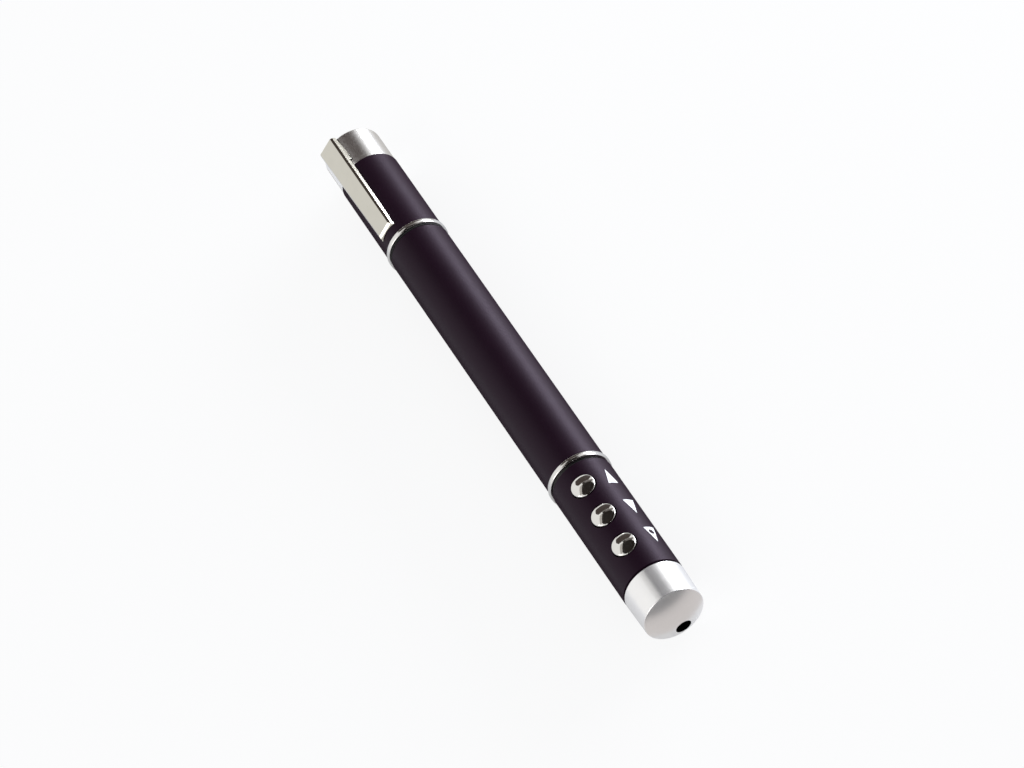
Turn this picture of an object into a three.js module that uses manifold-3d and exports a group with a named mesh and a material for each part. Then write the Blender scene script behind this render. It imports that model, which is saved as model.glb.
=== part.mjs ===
// Pen-shaped laser pointer and presentation remote: a dark coated barrel that holds two
// cells end to end, a control head with three domed buttons, a metal nose with an offset
// emitter hole, and a tail with a spring clip that unscrews from the barrel.
// Millimetres. The pen lies along X with the nose at +X and the buttons facing +Z.
// "Station" is the distance from the flat tail end along the pen's axis.

import * as THREE from 'three';
import { mergeVertices } from 'three/addons/utils/BufferGeometryUtils.js';
import Module from 'manifold-3d';

const wasm = await Module();
wasm.setup();

// Lengths of the sections along the pen, from the tail end to the nose.
const capLength = 9.35;
const tailLength = 23.1;
const ringWidth = 1.2;
const grooveWidth = 0.45;
const headLength = 31.65;
const noseLength = 8.46;
const domeHeight = 1.15;

// Outsides of the sections, from the barrel's wall and as steps from its outside.
const barrelWall = 0.82;
const capStep = 0.12;
const noseTaper = 0.2;
const ringProud = 0.32;
const edgeRound = 0.4;
const trimRound = 0.18;

// Standard cell, two of which set the length and width of the barrel and reach into the tail.
const cellDiameter = 10.5;
const cellLength = 44.5;
const cellNubDiameter = 3.8;
const cellNubLength = 1.0;
const cellShoulder = 0.5;
const cellClearance = 0.15;
const cellGap = 0.1;

// Fits. Turning fits have the thread's clearance, and fixed ones the close clearance.
const closeFit = 0.06;
const threadClearance = 0.08;
const shoulderGap = 0.1;
const overrun = 1;

// The screwed joint between tail and barrel.
const threadPitch = 1.25;
const threadDepth = 0.3;
const threadTurns = 3.5;
const runOutTurns = 0.5;
const threadLead = 0.6;
const threadCrest = 0.25;
const threadFootShare = 0.6;
const spigotWall = 0.4;
const insertStep = 0.4;
const insertReach = 8;
const sealWidth = 0.36;

// Walls and bores of the other tubes.
const capWall = 0.65;
const capEndWall = 1.0;
const headWall = 0.8;
const noseWall = 0.75;
const noseEndWall = 1.1;

// Coupling between barrel and control head, and the contact that it carries.
const couplingReach = 5.5;
const couplingNose = 2;
const couplingWeb = 1.2;
const couplingFlangeStep = 0.4;
const couplingSeatStep = 0.07;
const holderThickness = 1.5;
const contactThickness = 0.4;
const contactDiameter = 6.4;
const pinDiameter = 1.1;
const holderInset = 0.2;

// Tail end: plug, spring and contact.
const plugReach = 3.2;
const tailContactEdge = 0.66;
const tailContactThickness = 0.6;
const tailBossDiameter = 4.2;
const tailBossLength = 0.9;
const springDiameter = 7.6;
const springLength = 5.1;
const springWire = 0.5;
const springTurns = 4;
const springGap = 0.05;

// Clip, a pressed channel that is narrower at its tip, and its foot and root.
const clipTilt = Math.PI / 6;
const clipStart = 0.25;
const clipRingGap = 1.9;
const clipRootRise = 1.1;
const clipTipRise = 0.6;
const clipRootWidth = 4.2;
const clipTipWidth = 3.6;
const clipSheet = 0.5;
const clipBevel = 0.42;
const clipFlangeDrop = 1.15;
const clipBodyGap = 0.12;
const clipFootLength = 4.2;
const clipFootFlare = 0.5;
const clipToe = 0.8;
const clipRootLength = 6.8;
const clipRootInset = 0.35;
const clipSeatDepth = 0.3;
const clipTabDepth = 2.9;
const clipTabWidth = 3.6;
const slotClearance = 0.3;
const slotSideGap = 0.15;

// Buttons, in a row along the head.
const buttonInset = 6.13;
const buttonEndSpace = 7.62;
const buttonDiameter = 5.2;
const buttonGap = 0.2;
const buttonDome = 0.75;
const buttonRise = 0.1;
const buttonFlange = 0.45;
const buttonFlangeThickness = 0.4;
const buttonStemDiameter = 2.6;
const buttonStemLength = 0.35;

// Switches under the buttons, on the control board.
const switchWidth = 4.4;
const switchHeight = 1.5;
const plungerDiameter = 1.9;
const plungerLength = 1.4;
const plungerTravel = 0.35;
const plungerRise = 0.5;
const plungerClearance = 0.1;

// Control board, the carrier under it and the frame over it.
const boardDrop = 4.7;
const boardThickness = 0.8;
const boardSideGap = 0.85;
const boardInset = 2.3;
const boardClearance = 0.3;
const carrierWall = 0.85;
const carrierShelf = 0.6;
const carrierClearance = 0.15;
const frameHeight = 1.85;
const frameHoleClearance = 0.2;

// Parts under the control board.
const chipLength = 5.0;
const chipWidth = 5.0;
const chipHeight = 0.9;
const crystalLength = 3.2;
const crystalWidth = 2.5;
const crystalHeight = 0.8;
const antennaLength = 7.0;
const antennaWidth = 2.0;
const antennaHeight = 1.2;
const inductorDiameter = 3.8;
const inductorHeight = 1.8;
const capacitorDiameter = 3.0;
const capacitorHeight = 2.4;

// Laser module in the nose, off the pen's axis and opposite the buttons.
const moduleSideGap = 0.15;
const moduleDiameter = 3.3;
const moduleLength = 10.2;
const moduleWall = 0.3;
const moduleInset = 0.3;
const moduleLip = 0.5;
const moduleApertureDiameter = 1.8;
const moduleSlotWidth = 2.4;
const emitterDiameter = 3.4;
const emitterEdge = 0.55;
const lensThickness = 0.8;
const lensBulge = 0.3;
const bulgeStationShare = 0.35;
const bulgeRadiusShare = 0.6;
const lensSpringWire = 0.2;
const lensSpringTurns = 5;
const diodeInset = 0.2;
const diodeFlange = 0.6;
const diodeCan = 1.4;
const diodeCanDiameter = 1.9;
const diodePinDiameter = 0.3;
const diodePinSpread = 0.55;
const diodePinLength = 1.6;
const driverLength = 6.5;
const driverWidth = 3.0;
const driverThickness = 0.6;
const wireDiameter = 0.7;
const wireSpread = 1.0;
const wireStartShare = 0.75;
const wireBendShare = 0.45;

// Facets round the tubes, small turned pieces, the thread and wires.
const sides = 32;
const smallSides = 16;
const buttonSides = 24;
const sealSides = 6;
const wireSides = 6;
const coilSteps = 10;
const wireSteps = 8;
const domeSteps = 3;

// Radii and stations that follow from the sizes above.
const cellBore = cellDiameter / 2 + cellClearance;
const threadRoot = cellBore + spigotWall;
const threadTip = threadRoot + threadDepth;
const insertRadius = threadRoot + insertStep;
const sleeveBore = insertRadius + closeFit;
const barrelBore = threadRoot + threadClearance;
const bodyRadius = barrelBore + barrelWall;
const ringRadius = bodyRadius + ringProud;
const couplingFlange = bodyRadius - couplingFlangeStep;
const couplingSeat = barrelBore + couplingSeatStep;
const capRadius = bodyRadius - capStep;
const capBore = capRadius - capWall;
const headBore = bodyRadius - headWall;
const noseTipRadius = bodyRadius - noseTaper;
const noseBore = noseTipRadius - noseWall;
const clipRootHeight = bodyRadius + clipRootRise;
const clipTipHeight = bodyRadius + clipTipRise;
const emitterOffset = noseTipRadius - emitterDiameter / 2 - emitterEdge;

const sleeveStart = capLength;
const plugEnd = sleeveStart + plugReach;
const tailContactEnd = plugEnd + tailContactThickness;
const springEnd = tailContactEnd + springGap + springLength;
const rearCellStart = springEnd + springGap;
const frontCellStart = rearCellStart + cellLength + cellGap;
const contactStart = frontCellStart + cellLength + cellGap;
const holderStart = contactStart + contactThickness;
const holderEnd = holderStart + holderThickness;

const rearRingStart = sleeveStart + tailLength;
const rearGrooveStart = rearRingStart + ringWidth;
const barrelStart = rearGrooveStart + grooveWidth;
const frontRingStart = holderEnd - holderInset;
const frontGrooveStart = frontRingStart + ringWidth;
const headStart = frontGrooveStart + grooveWidth;
const noseStart = headStart + headLength;
const noseRim = noseStart + noseLength;
const penLength = noseRim + domeHeight;

const threadStart = barrelStart + threadLead;
const spigotEnd = threadStart + threadPitch * (threadTurns + runOutTurns);
const couplingStart = frontRingStart - couplingReach;
const couplingEnd = headStart + couplingNose;
const clipLength = rearRingStart - clipRingGap - clipToe - clipStart;
const noseInside = noseRim - noseEndWall;
const moduleEnd = noseInside - moduleInset;
const moduleStart = moduleEnd - moduleLength;
const boardStart = headStart + boardInset;
const boardEnd = moduleStart - boardClearance;
const boardTop = bodyRadius - boardDrop;
const boardBottom = boardTop - boardThickness;
const moduleRadius = moduleDiameter / 2;
const moduleBore = moduleRadius - moduleWall;
const moduleOffset = noseBore - moduleRadius - moduleSideGap;
const buttonPitch = (headLength - buttonInset - buttonEndSpace) / 2;

// Materials.
const material = (color, roughness, metalness) =>
  new THREE.MeshStandardMaterial({ color, roughness, metalness });
const softCoat = material(0x2c2329, 0.55, 0.1);
const satinMetal = material(0xbdb8b2, 0.35, 1);
const chrome = material(0xd8d6d2, 0.12, 1);
const brass = material(0xb08d45, 0.35, 1);
const nickel = material(0xb4b0a4, 0.3, 1);
const steel = material(0x9c9c9c, 0.35, 1);
const blackPlastic = material(0x161616, 0.6, 0);
const greyPlastic = material(0x55585a, 0.6, 0);
const linerPlastic = material(0x3f5d7a, 0.7, 0);
const rubber = material(0x0e0e0e, 0.85, 0);
const boardGreen = material(0x1f5a36, 0.5, 0);
const cellJacket = material(0x3a6ea5, 0.4, 0.2);
const ceramic = material(0xd9d2c2, 0.5, 0);
const lensGlass = material(0xcfe3ea, 0.05, 0);
const redWire = material(0xa8231c, 0.5, 0);
const blackWire = material(0x191919, 0.5, 0);

// A closed solid from a three.js geometry, with shared vertices merged.
function toSolid(geometry) {
  const bare = geometry.clone();
  bare.deleteAttribute('normal');
  bare.deleteAttribute('uv');
  const merged = mergeVertices(bare);
  const index = merged.index.array;
  const kept = [];
  for (let i = 0; i < index.length; i += 3) {
    const [a, b, c] = [index[i], index[i + 1], index[i + 2]];
    if (a !== b && b !== c && c !== a) kept.push(a, b, c);
  }
  return new wasm.Manifold(new wasm.Mesh({
    numProp: 3,
    vertProperties: new Float32Array(merged.attributes.position.array),
    triVerts: new Uint32Array(kept),
  }));
}

function toGeometry(solid) {
  const mesh = solid.getMesh();
  const geometry = new THREE.BufferGeometry();
  geometry.setAttribute('position', new THREE.BufferAttribute(mesh.vertProperties, 3));
  geometry.setIndex(new THREE.BufferAttribute(mesh.triVerts, 1));
  geometry.computeVertexNormals();
  return geometry;
}

function piece(name, solid, look) {
  const mesh = new THREE.Mesh(toGeometry(solid), look);
  mesh.name = name;
  return mesh;
}

// A turned solid about the pen's axis. The outline is a list of [station, radius] that runs
// from tail to nose on the outside and back on the inside, or from axis to axis.
function turned(outline, facets = sides) {
  const points = outline.map(([station, radius]) => new THREE.Vector2(radius, station));
  if (outline[0][1] !== 0) points.push(points[0].clone());
  const geometry = new THREE.LatheGeometry(points, facets, Math.PI / facets);
  return toSolid(geometry.rotateZ(-Math.PI / 2));
}

const rod = (from, to, radius, facets = sides) =>
  turned([[from, 0], [from, radius], [to, radius], [to, 0]], facets);

const tube = (from, to, outer, inner, facets = sides) =>
  turned([[from, inner], [from, outer], [to, outer], [to, inner]], facets);

// Points of a rounded outside corner, at the tail end (side -1) or nose end (side 1) of a
// tube whose end face is at the station and whose outside has the radius. A corner in one
// step is a chamfer.
function corner(station, radius, round, side, steps = 1) {
  const points = [];
  for (let i = 0; i <= steps; i += 1) {
    const angle = (Math.PI / 2) * (i / steps);
    const along = side > 0 ? Math.sin(angle) : Math.cos(angle);
    const out = side > 0 ? Math.cos(angle) : Math.sin(angle);
    points.push([station - side * round * (1 - along), radius - round * (1 - out)]);
  }
  return points;
}

// A tube with both outside corners eased.
const easedTube = (from, to, outer, inner, round, steps = 1) => turned([
  [from, inner],
  ...corner(from, outer, round, -1, steps),
  ...corner(to, outer, round, 1, steps),
  [to, inner],
]);

// A round solid along X, off the pen's axis by the given height along Z.
function offsetRod(from, to, radius, height, facets = smallSides) {
  const geometry = new THREE.CylinderGeometry(radius, radius, to - from, facets);
  geometry.rotateZ(-Math.PI / 2);
  geometry.translate((from + to) / 2, 0, height);
  return toSolid(geometry);
}

// An upright round solid under a button.
function upright(station, radius, bottom, top, facets = smallSides) {
  const geometry = new THREE.CylinderGeometry(radius, radius, top - bottom, facets);
  geometry.rotateX(Math.PI / 2);
  geometry.translate(station, 0, (bottom + top) / 2);
  return toSolid(geometry);
}

function blockGeometry(from, to, width, bottom, top) {
  const geometry = new THREE.BoxGeometry(to - from, width, top - bottom);
  return geometry.translate((from + to) / 2, 0, (bottom + top) / 2);
}

const block = (from, to, width, bottom, top) =>
  toSolid(blockGeometry(from, to, width, bottom, top));

// Half the width that a bore of this radius leaves at a height above the axis.
const halfChord = (radius, height) => Math.sqrt(radius * radius - height * height);

// A closed solid through sections that all have the same number of points. The lid gives
// a section's points in its own plane, anticlockwise as seen from the last section's side.
function loft(sections, lid) {
  const count = sections[0].length;
  const vertices = sections.flat(2);
  const index = [];
  for (let s = 0; s + 1 < sections.length; s += 1) {
    for (let i = 0; i < count; i += 1) {
      const a = s * count + i;
      const b = s * count + ((i + 1) % count);
      index.push(a, b, b + count, a, b + count, a + count);
    }
  }
  const last = (sections.length - 1) * count;
  for (const [a, b, c] of THREE.ShapeUtils.triangulateShape(lid, [])) {
    index.push(a, c, b);
    index.push(last + a, last + b, last + c);
  }
  const geometry = new THREE.BufferGeometry();
  geometry.setAttribute('position', new THREE.Float32BufferAttribute(vertices, 3));
  geometry.setIndex(index);
  return toSolid(geometry);
}

// A right-handed helical ridge, from one turn count to another, that is wide at its foot
// radius and narrow at its crest radius.
function helicalRidge(foot, crest, footHalf, crestHalf, fromTurn, toTurn) {
  const steps = Math.round((toTurn - fromTurn) * sides);
  const sections = [];
  for (let i = 0; i <= steps; i += 1) {
    const turn = fromTurn + (toTurn - fromTurn) * (i / steps);
    const angle = turn * 2 * Math.PI + Math.PI / sides;
    const centre = threadStart + threadPitch * turn;
    const point = (radius, shift) =>
      [centre + shift, radius * Math.cos(angle), radius * Math.sin(angle)];
    sections.push([
      point(foot, -footHalf),
      point(foot, footHalf),
      point(crest, crestHalf),
      point(crest, -crestHalf),
    ]);
  }
  const lid = [
    new THREE.Vector2(-footHalf, foot),
    new THREE.Vector2(footHalf, foot),
    new THREE.Vector2(crestHalf, crest),
    new THREE.Vector2(-crestHalf, crest),
  ];
  return loft(sections, lid);
}

// A round wire swept along a curve.
function wire(curve, diameter, steps) {
  const section = new THREE.Shape();
  section.absarc(0, 0, diameter / 2, 0, 2 * Math.PI);
  return toSolid(new THREE.ExtrudeGeometry(section, {
    steps,
    curveSegments: wireSides / 2,
    extrudePath: curve,
    bevelEnabled: false,
  }));
}

// A coil spring about a line parallel to the pen's axis.
function coil(from, to, diameter, thickness, turns, height) {
  const radius = (diameter - thickness) / 2;
  const steps = Math.round(turns * coilSteps);
  const points = [];
  for (let i = 0; i <= steps; i += 1) {
    const angle = (i / coilSteps) * 2 * Math.PI;
    const station = from + thickness / 2 + (to - from - thickness) * (i / steps);
    points.push(new THREE.Vector3(
      station,
      radius * Math.cos(angle),
      height + radius * Math.sin(angle),
    ));
  }
  return wire(new THREE.CatmullRomCurve3(points), thickness, steps);
}

// Tail: sleeve, end cap, plug, contact and spring.
const tailSleeve = () =>
  easedTube(sleeveStart, rearRingStart, bodyRadius, sleeveBore, trimRound);

const clipRootStart = clipStart + clipRootInset;
const clipRootEnd = clipRootStart + clipRootLength;
const clipSkirt = clipRootWidth + 2 * clipBevel + 2 * clipFootFlare;
const clipSeat = halfChord(capRadius, clipSkirt / 2) - clipSeatDepth;
const clipTabBottom = clipRootHeight - clipSheet - clipTabDepth;

// The clip's root: a flared shoulder that sinks into the cap, over a narrower tab. The slot
// for it is the same shape, with clearance at its ends and below, and a gap at its sides.
function clipRoot(clearance, sideGap) {
  const shoulder = clipEnd(
    clipRootStart - clearance,
    clipRootEnd + clearance,
    sideGap,
    clipFootFlare + sideGap,
    0,
    clipSeat - clearance,
  );
  const tab = block(
    clipRootStart - clearance,
    clipRootEnd + clearance,
    clipTabWidth + 2 * sideGap,
    clipTabBottom - clearance,
    clipSeat + clipSheet,
  );
  return shoulder.add(tab);
}

// Cap and plug are turned solids with the slot at the top, like the clip.
function tailCap() {
  const cup = turned([
    [0, 0],
    ...corner(0, capRadius, edgeRound, -1, 2),
    ...corner(capLength, capRadius, trimRound, 1),
    [capLength, capBore],
    [capEndWall, capBore],
    [capEndWall, 0],
  ]);
  return cup.subtract(clipRoot(slotClearance, slotSideGap));
}

function capPlug() {
  const plug = turned([
    [capEndWall, 0],
    [capEndWall, capBore - closeFit],
    [sleeveStart, capBore - closeFit],
    [sleeveStart, sleeveBore - closeFit],
    [plugEnd, sleeveBore - closeFit],
    [plugEnd, 0],
  ]);
  return plug.subtract(clipRoot(slotClearance, slotSideGap));
}

const tailContact = () => turned([
  [plugEnd, 0],
  [plugEnd, sleeveBore - tailContactEdge],
  [tailContactEnd, sleeveBore - tailContactEdge],
  [tailContactEnd, tailBossDiameter / 2],
  [tailContactEnd + tailBossLength, tailBossDiameter / 2],
  [tailContactEnd + tailBossLength, 0],
], smallSides);

const tailSpring = () => coil(
  tailContactEnd + springGap,
  springEnd,
  springDiameter,
  springWire,
  springTurns,
  0,
);

// Clip: a channel with bevelled shoulders whose flanges follow the body, closed by a flared
// foot at the tip and by a solid root at the tail end.
function clipSection(station, share) {
  const top = clipRootHeight + (clipTipHeight - clipRootHeight) * share;
  const half = (clipRootWidth + (clipTipWidth - clipRootWidth) * share) / 2;
  const skirt = half + clipBevel;
  const drop = top - clipFlangeDrop;
  return [
    [station, skirt, drop],
    [station, skirt, top - clipBevel],
    [station, half, top],
    [station, -half, top],
    [station, -skirt, top - clipBevel],
    [station, -skirt, drop],
    [station, -skirt + clipSheet, drop],
    [station, -half + clipSheet / 2, top - clipSheet],
    [station, half - clipSheet / 2, top - clipSheet],
    [station, skirt - clipSheet, drop],
  ];
}

// A solid end of the clip, flared towards the body, between two stations of which the
// second has a toe that reaches further at the bottom.
function clipEnd(from, to, fromFlare, toFlare, toe, bottom) {
  const section = (station, flare, lean) => {
    const share = (station - clipStart) / clipLength;
    const top = clipRootHeight + (clipTipHeight - clipRootHeight) * share;
    const half = (clipRootWidth + (clipTipWidth - clipRootWidth) * share) / 2;
    const skirt = half + clipBevel;
    return [
      [station + lean, skirt + flare, bottom],
      [station, skirt, top - clipBevel],
      [station, half, top],
      [station, -half, top],
      [station, -skirt, top - clipBevel],
      [station + lean, -skirt - flare, bottom],
    ];
  };
  const sections = [section(from, fromFlare, 0), section(to, toFlare, toe)];
  return loft(sections, sections[0].map(([, y, z]) => new THREE.Vector2(y, z)));
}

function clipShape() {
  const clipEndStation = clipStart + clipLength;
  const sections = [clipSection(clipStart, 0), clipSection(clipEndStation, 1)];
  const channel = loft(sections, sections[0].map(([, y, z]) => new THREE.Vector2(y, z)));
  const foot = clipEnd(
    clipEndStation - clipFootLength,
    clipEndStation,
    0,
    clipFootFlare,
    clipToe,
    halfChord(bodyRadius, clipSkirt / 2),
  );
  const body = rod(-overrun, barrelStart, bodyRadius + clipBodyGap);
  const arm = channel.add(foot).subtract(body);
  return arm.add(clipRoot(0, 0));
}

// Rear ring, seal and the threaded insert that joins the tail to the barrel.
const ringShape = (start, bore) =>
  easedTube(start, start + ringWidth, ringRadius, bore, trimRound);

function sealRing() {
  const radius = sealWidth / 2;
  const centre = insertRadius + closeFit + radius;
  const outline = [];
  for (let i = 0; i < sealSides; i += 1) {
    const angle = (i / sealSides) * 2 * Math.PI;
    outline.push([
      rearGrooveStart + grooveWidth / 2 - radius * Math.sin(angle),
      centre - radius * Math.cos(angle),
    ]);
  }
  return turned(outline);
}

// Half width of the male ridge at its foot and at its crest.
const ridgeFoot = (threadPitch * threadFootShare) / 2;
const ridgeCrest = threadCrest / 2;

function tailInsert() {
  const core = turned([
    [rearRingStart - insertReach, cellBore],
    [rearRingStart - insertReach, insertRadius],
    [barrelStart - shoulderGap, insertRadius],
    [barrelStart - shoulderGap, threadRoot],
    [spigotEnd, threadRoot],
    [spigotEnd, cellBore],
  ]);
  const buried = threadRoot - spigotWall / 2;
  return core.add(helicalRidge(buried, threadTip, ridgeFoot, ridgeCrest, 0, threadTurns));
}

// Barrel with the female thread in its tail end, its liner and the two cells.
function barrelShape() {
  const shell = easedTube(barrelStart, frontRingStart, bodyRadius, barrelBore, edgeRound, 2);
  const grooveFoot = ridgeFoot + 2 * threadClearance;
  const groove = helicalRidge(
    barrelBore - threadDepth,
    threadTip + threadClearance,
    grooveFoot,
    ridgeCrest + threadClearance,
    -(threadLead + grooveFoot + shoulderGap) / threadPitch,
    threadTurns + runOutTurns,
  );
  return shell.subtract(groove);
}

const barrelLiner = () => tube(
  spigotEnd + ridgeFoot,
  couplingStart - shoulderGap,
  barrelBore - closeFit,
  cellBore,
);

const cell = (start) => turned([
  [start, 0],
  [start, cellDiameter / 2 - cellShoulder],
  [start + cellShoulder, cellDiameter / 2],
  [start + cellLength - cellNubLength - cellShoulder, cellDiameter / 2],
  [start + cellLength - cellNubLength, cellDiameter / 2 - cellShoulder],
  [start + cellLength - cellNubLength, cellNubDiameter / 2],
  [start + cellLength, cellNubDiameter / 2],
  [start + cellLength, 0],
]);

// Coupling that joins barrel, front ring and control head, and the contact that it holds.
const coupling = () => turned([
  [couplingStart, cellBore],
  [couplingStart, barrelBore - closeFit],
  [frontRingStart, barrelBore - closeFit],
  [frontRingStart, couplingSeat],
  [frontGrooveStart, couplingSeat],
  [frontGrooveStart, couplingFlange],
  [headStart, couplingFlange],
  [headStart, headBore - closeFit],
  [couplingEnd, headBore - closeFit],
  [couplingEnd, headBore - closeFit - couplingWeb],
  [holderEnd, headBore - closeFit - couplingWeb],
  [holderEnd, cellBore],
]);

const pinHeight = boardTop - boardThickness / 2;

const contactHolder = () => rod(holderStart, holderEnd, cellBore - closeFit)
  .subtract(offsetRod(
    holderStart - overrun,
    holderEnd + overrun,
    pinDiameter / 2 + closeFit,
    pinHeight,
  ));

const positiveContact = () => rod(contactStart, holderStart, contactDiameter / 2, smallSides);

const contactPin = () => offsetRod(holderStart, boardStart, pinDiameter / 2, pinHeight);

// Control head: the sleeve with its button holes, and what it holds.
const buttonStations = [0, 1, 2].map((i) => headStart + buttonInset + i * buttonPitch);

function headSleeve() {
  let sleeve = turned([
    [headStart, headBore],
    ...corner(headStart, bodyRadius, edgeRound, -1, 2),
    ...corner(noseStart, bodyRadius, trimRound, 1),
    [noseStart, headBore],
  ]);
  for (const station of buttonStations) {
    const hole = upright(
      station,
      buttonDiameter / 2 + buttonGap,
      0,
      bodyRadius + overrun,
      buttonSides,
    );
    sleeve = sleeve.subtract(hole);
  }
  return sleeve;
}

const boardWidth = 2 * (halfChord(headBore, boardTop) - boardSideGap);

const controlBoard = () => block(boardStart, boardEnd, boardWidth, boardBottom, boardTop);

const switchTop = boardTop + switchHeight;
const plungerTop = switchTop + plungerRise;
const stemTop = plungerTop + buttonStemLength;
const flangeTop = stemTop + buttonFlangeThickness;

const switchBody = (station) => block(
  station - switchWidth / 2,
  station + switchWidth / 2,
  switchWidth,
  boardTop,
  switchTop,
).subtract(upright(
  station,
  plungerDiameter / 2 + plungerClearance,
  plungerTop - plungerLength - plungerTravel - plungerClearance,
  switchTop + overrun,
));

const switchPlunger = (station) =>
  upright(station, plungerDiameter / 2, plungerTop - plungerLength, plungerTop);

// A button: a domed cap on a retaining flange and a short stem.
function button(station) {
  const radius = buttonDiameter / 2;
  const edge = bodyRadius + buttonRise;
  const points = [
    [0, plungerTop],
    [buttonStemDiameter / 2, plungerTop],
    [buttonStemDiameter / 2, stemTop],
    [radius + buttonFlange, stemTop],
    [radius + buttonFlange, flangeTop],
    [radius, flangeTop],
    [radius, edge - trimRound],
  ];
  for (let i = 0; i <= domeSteps; i += 1) {
    const share = i / domeSteps;
    points.push([
      (radius - trimRound) * (1 - share),
      edge + buttonDome * (1 - (1 - share) * (1 - share)),
    ]);
  }
  const profile = points.map(([x, z]) => new THREE.Vector2(x, z));
  const geometry = new THREE.LatheGeometry(profile, buttonSides);
  return toSolid(geometry.rotateX(Math.PI / 2).translate(station, 0, 0));
}

// Frame over the board, with a square hole for each switch.
function buttonFrame() {
  const top = boardTop + frameHeight;
  const bore = headBore - carrierClearance;
  const outline = [
    [-halfChord(bore, boardTop), boardTop],
    [halfChord(bore, boardTop), boardTop],
    [halfChord(bore, top), top],
    [-halfChord(bore, top), top],
  ];
  const section = (station) => outline.map(([y, z]) => [station, y, z]);
  const lid = outline.map(([y, z]) => new THREE.Vector2(y, z));
  let frame = loft([section(boardStart), section(boardEnd)], lid);
  for (const station of buttonStations) {
    const half = switchWidth / 2 + frameHoleClearance;
    frame = frame.subtract(block(station - half, station + half, 2 * half, 0, top + overrun));
  }
  return frame;
}

// Carrier under the board: the lower part of a round tube, with shelves for the board.
function boardCarrier() {
  const outer = headBore - carrierClearance;
  const shell = rod(boardStart, boardEnd, outer);
  const upper = block(
    boardStart - overrun,
    boardEnd + overrun,
    2 * bodyRadius,
    boardBottom,
    bodyRadius,
  );
  const hollow = rod(boardStart - overrun, boardEnd + overrun, outer - carrierWall)
    .intersect(block(
      boardStart - overrun,
      boardEnd + overrun,
      boardWidth - 2 * carrierShelf,
      -bodyRadius,
      bodyRadius,
    ));
  return shell.subtract(upper).subtract(hollow);
}

// Parts that hang under the board, in a row with even gaps, the wires' ends among them.
const underBoard = (start, length, width, height) =>
  block(start, start + length, width, boardBottom - height, boardBottom);

const partLengths =
  capacitorDiameter + inductorDiameter + chipLength + crystalLength + antennaWidth;
const gapCount = 7;
const partGap = (boardEnd - boardStart - partLengths) / gapCount;
const capacitorStart = boardStart + partGap;
const inductorStart = capacitorStart + capacitorDiameter + partGap;
const chipStart = inductorStart + inductorDiameter + partGap;
const crystalStart = chipStart + chipLength + partGap;
const wireEnd = crystalStart + crystalLength + partGap;
const antennaStart = wireEnd + partGap;

const hangingCan = (start, diameter, height) => upright(
  start + diameter / 2,
  diameter / 2,
  boardBottom - height,
  boardBottom,
);

// The antenna lies across the board's nose end.
const antenna = () => block(
  antennaStart,
  antennaStart + antennaWidth,
  antennaLength,
  boardBottom - antennaHeight,
  boardBottom,
);

// Nose: the metal cup with its domed end and the emitter hole.
function noseCap() {
  const domeRadius = (noseTipRadius ** 2 + domeHeight ** 2) / (2 * domeHeight);
  const outline = [
    [noseStart, noseBore],
    ...corner(noseStart, bodyRadius, trimRound, -1),
  ];
  const rimAngle = Math.asin(noseTipRadius / domeRadius);
  for (let i = 0; i <= domeSteps; i += 1) {
    const angle = rimAngle * (1 - i / domeSteps);
    outline.push([
      penLength - domeRadius * (1 - Math.cos(angle)),
      i === domeSteps ? 0 : domeRadius * Math.sin(angle),
    ]);
  }
  outline.push([noseInside, 0], [noseInside, noseBore]);
  const cup = turned(outline);
  return cup.subtract(offsetRod(
    noseInside - overrun,
    penLength + overrun,
    emitterDiameter / 2,
    -emitterOffset,
    buttonSides,
  ));
}

// Plastic holder that carries the laser module and joins the nose to the head.
function moduleHolder() {
  const body = turned([
    [moduleStart, 0],
    [moduleStart, headBore - closeFit],
    [noseStart, headBore - closeFit],
    [noseStart, noseBore - closeFit],
    [noseInside, noseBore - closeFit],
    [noseInside, 0],
  ]);
  const bore = offsetRod(
    moduleStart - overrun,
    noseInside + overrun,
    moduleRadius + closeFit,
    -moduleOffset,
  );
  const mouth = block(
    moduleStart - overrun,
    noseInside + overrun,
    moduleSlotWidth,
    -bodyRadius,
    -moduleOffset,
  );
  return body.subtract(bore).subtract(mouth);
}

// Laser module: brass housing, lens, its spring, the diode and the driver board.
const laserHousing = () =>
  offsetRod(moduleStart, moduleEnd, moduleRadius, -moduleOffset)
    .subtract(offsetRod(
      moduleStart - overrun,
      moduleEnd - moduleLip,
      moduleBore,
      -moduleOffset,
    ))
    .subtract(offsetRod(
      moduleEnd - moduleLip - overrun,
      moduleEnd + overrun,
      moduleApertureDiameter / 2,
      -moduleOffset,
    ));

const lensEnd = moduleEnd - moduleLip - springGap;
const lensStart = lensEnd - lensThickness - lensBulge;
const diodeStart = moduleStart + diodeInset;
const diodeEnd = diodeStart + diodeFlange;
const moduleSeat = moduleBore - closeFit;

const laserLens = () => turned([
  [lensStart, 0],
  [lensStart + lensBulge * bulgeStationShare, moduleSeat * bulgeRadiusShare],
  [lensStart + lensBulge, moduleSeat],
  [lensEnd, moduleSeat],
  [lensEnd, 0],
], smallSides);

const lensSpring = () => coil(
  diodeEnd + springGap,
  lensStart - springGap,
  2 * moduleSeat,
  lensSpringWire,
  lensSpringTurns,
  0,
);

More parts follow.
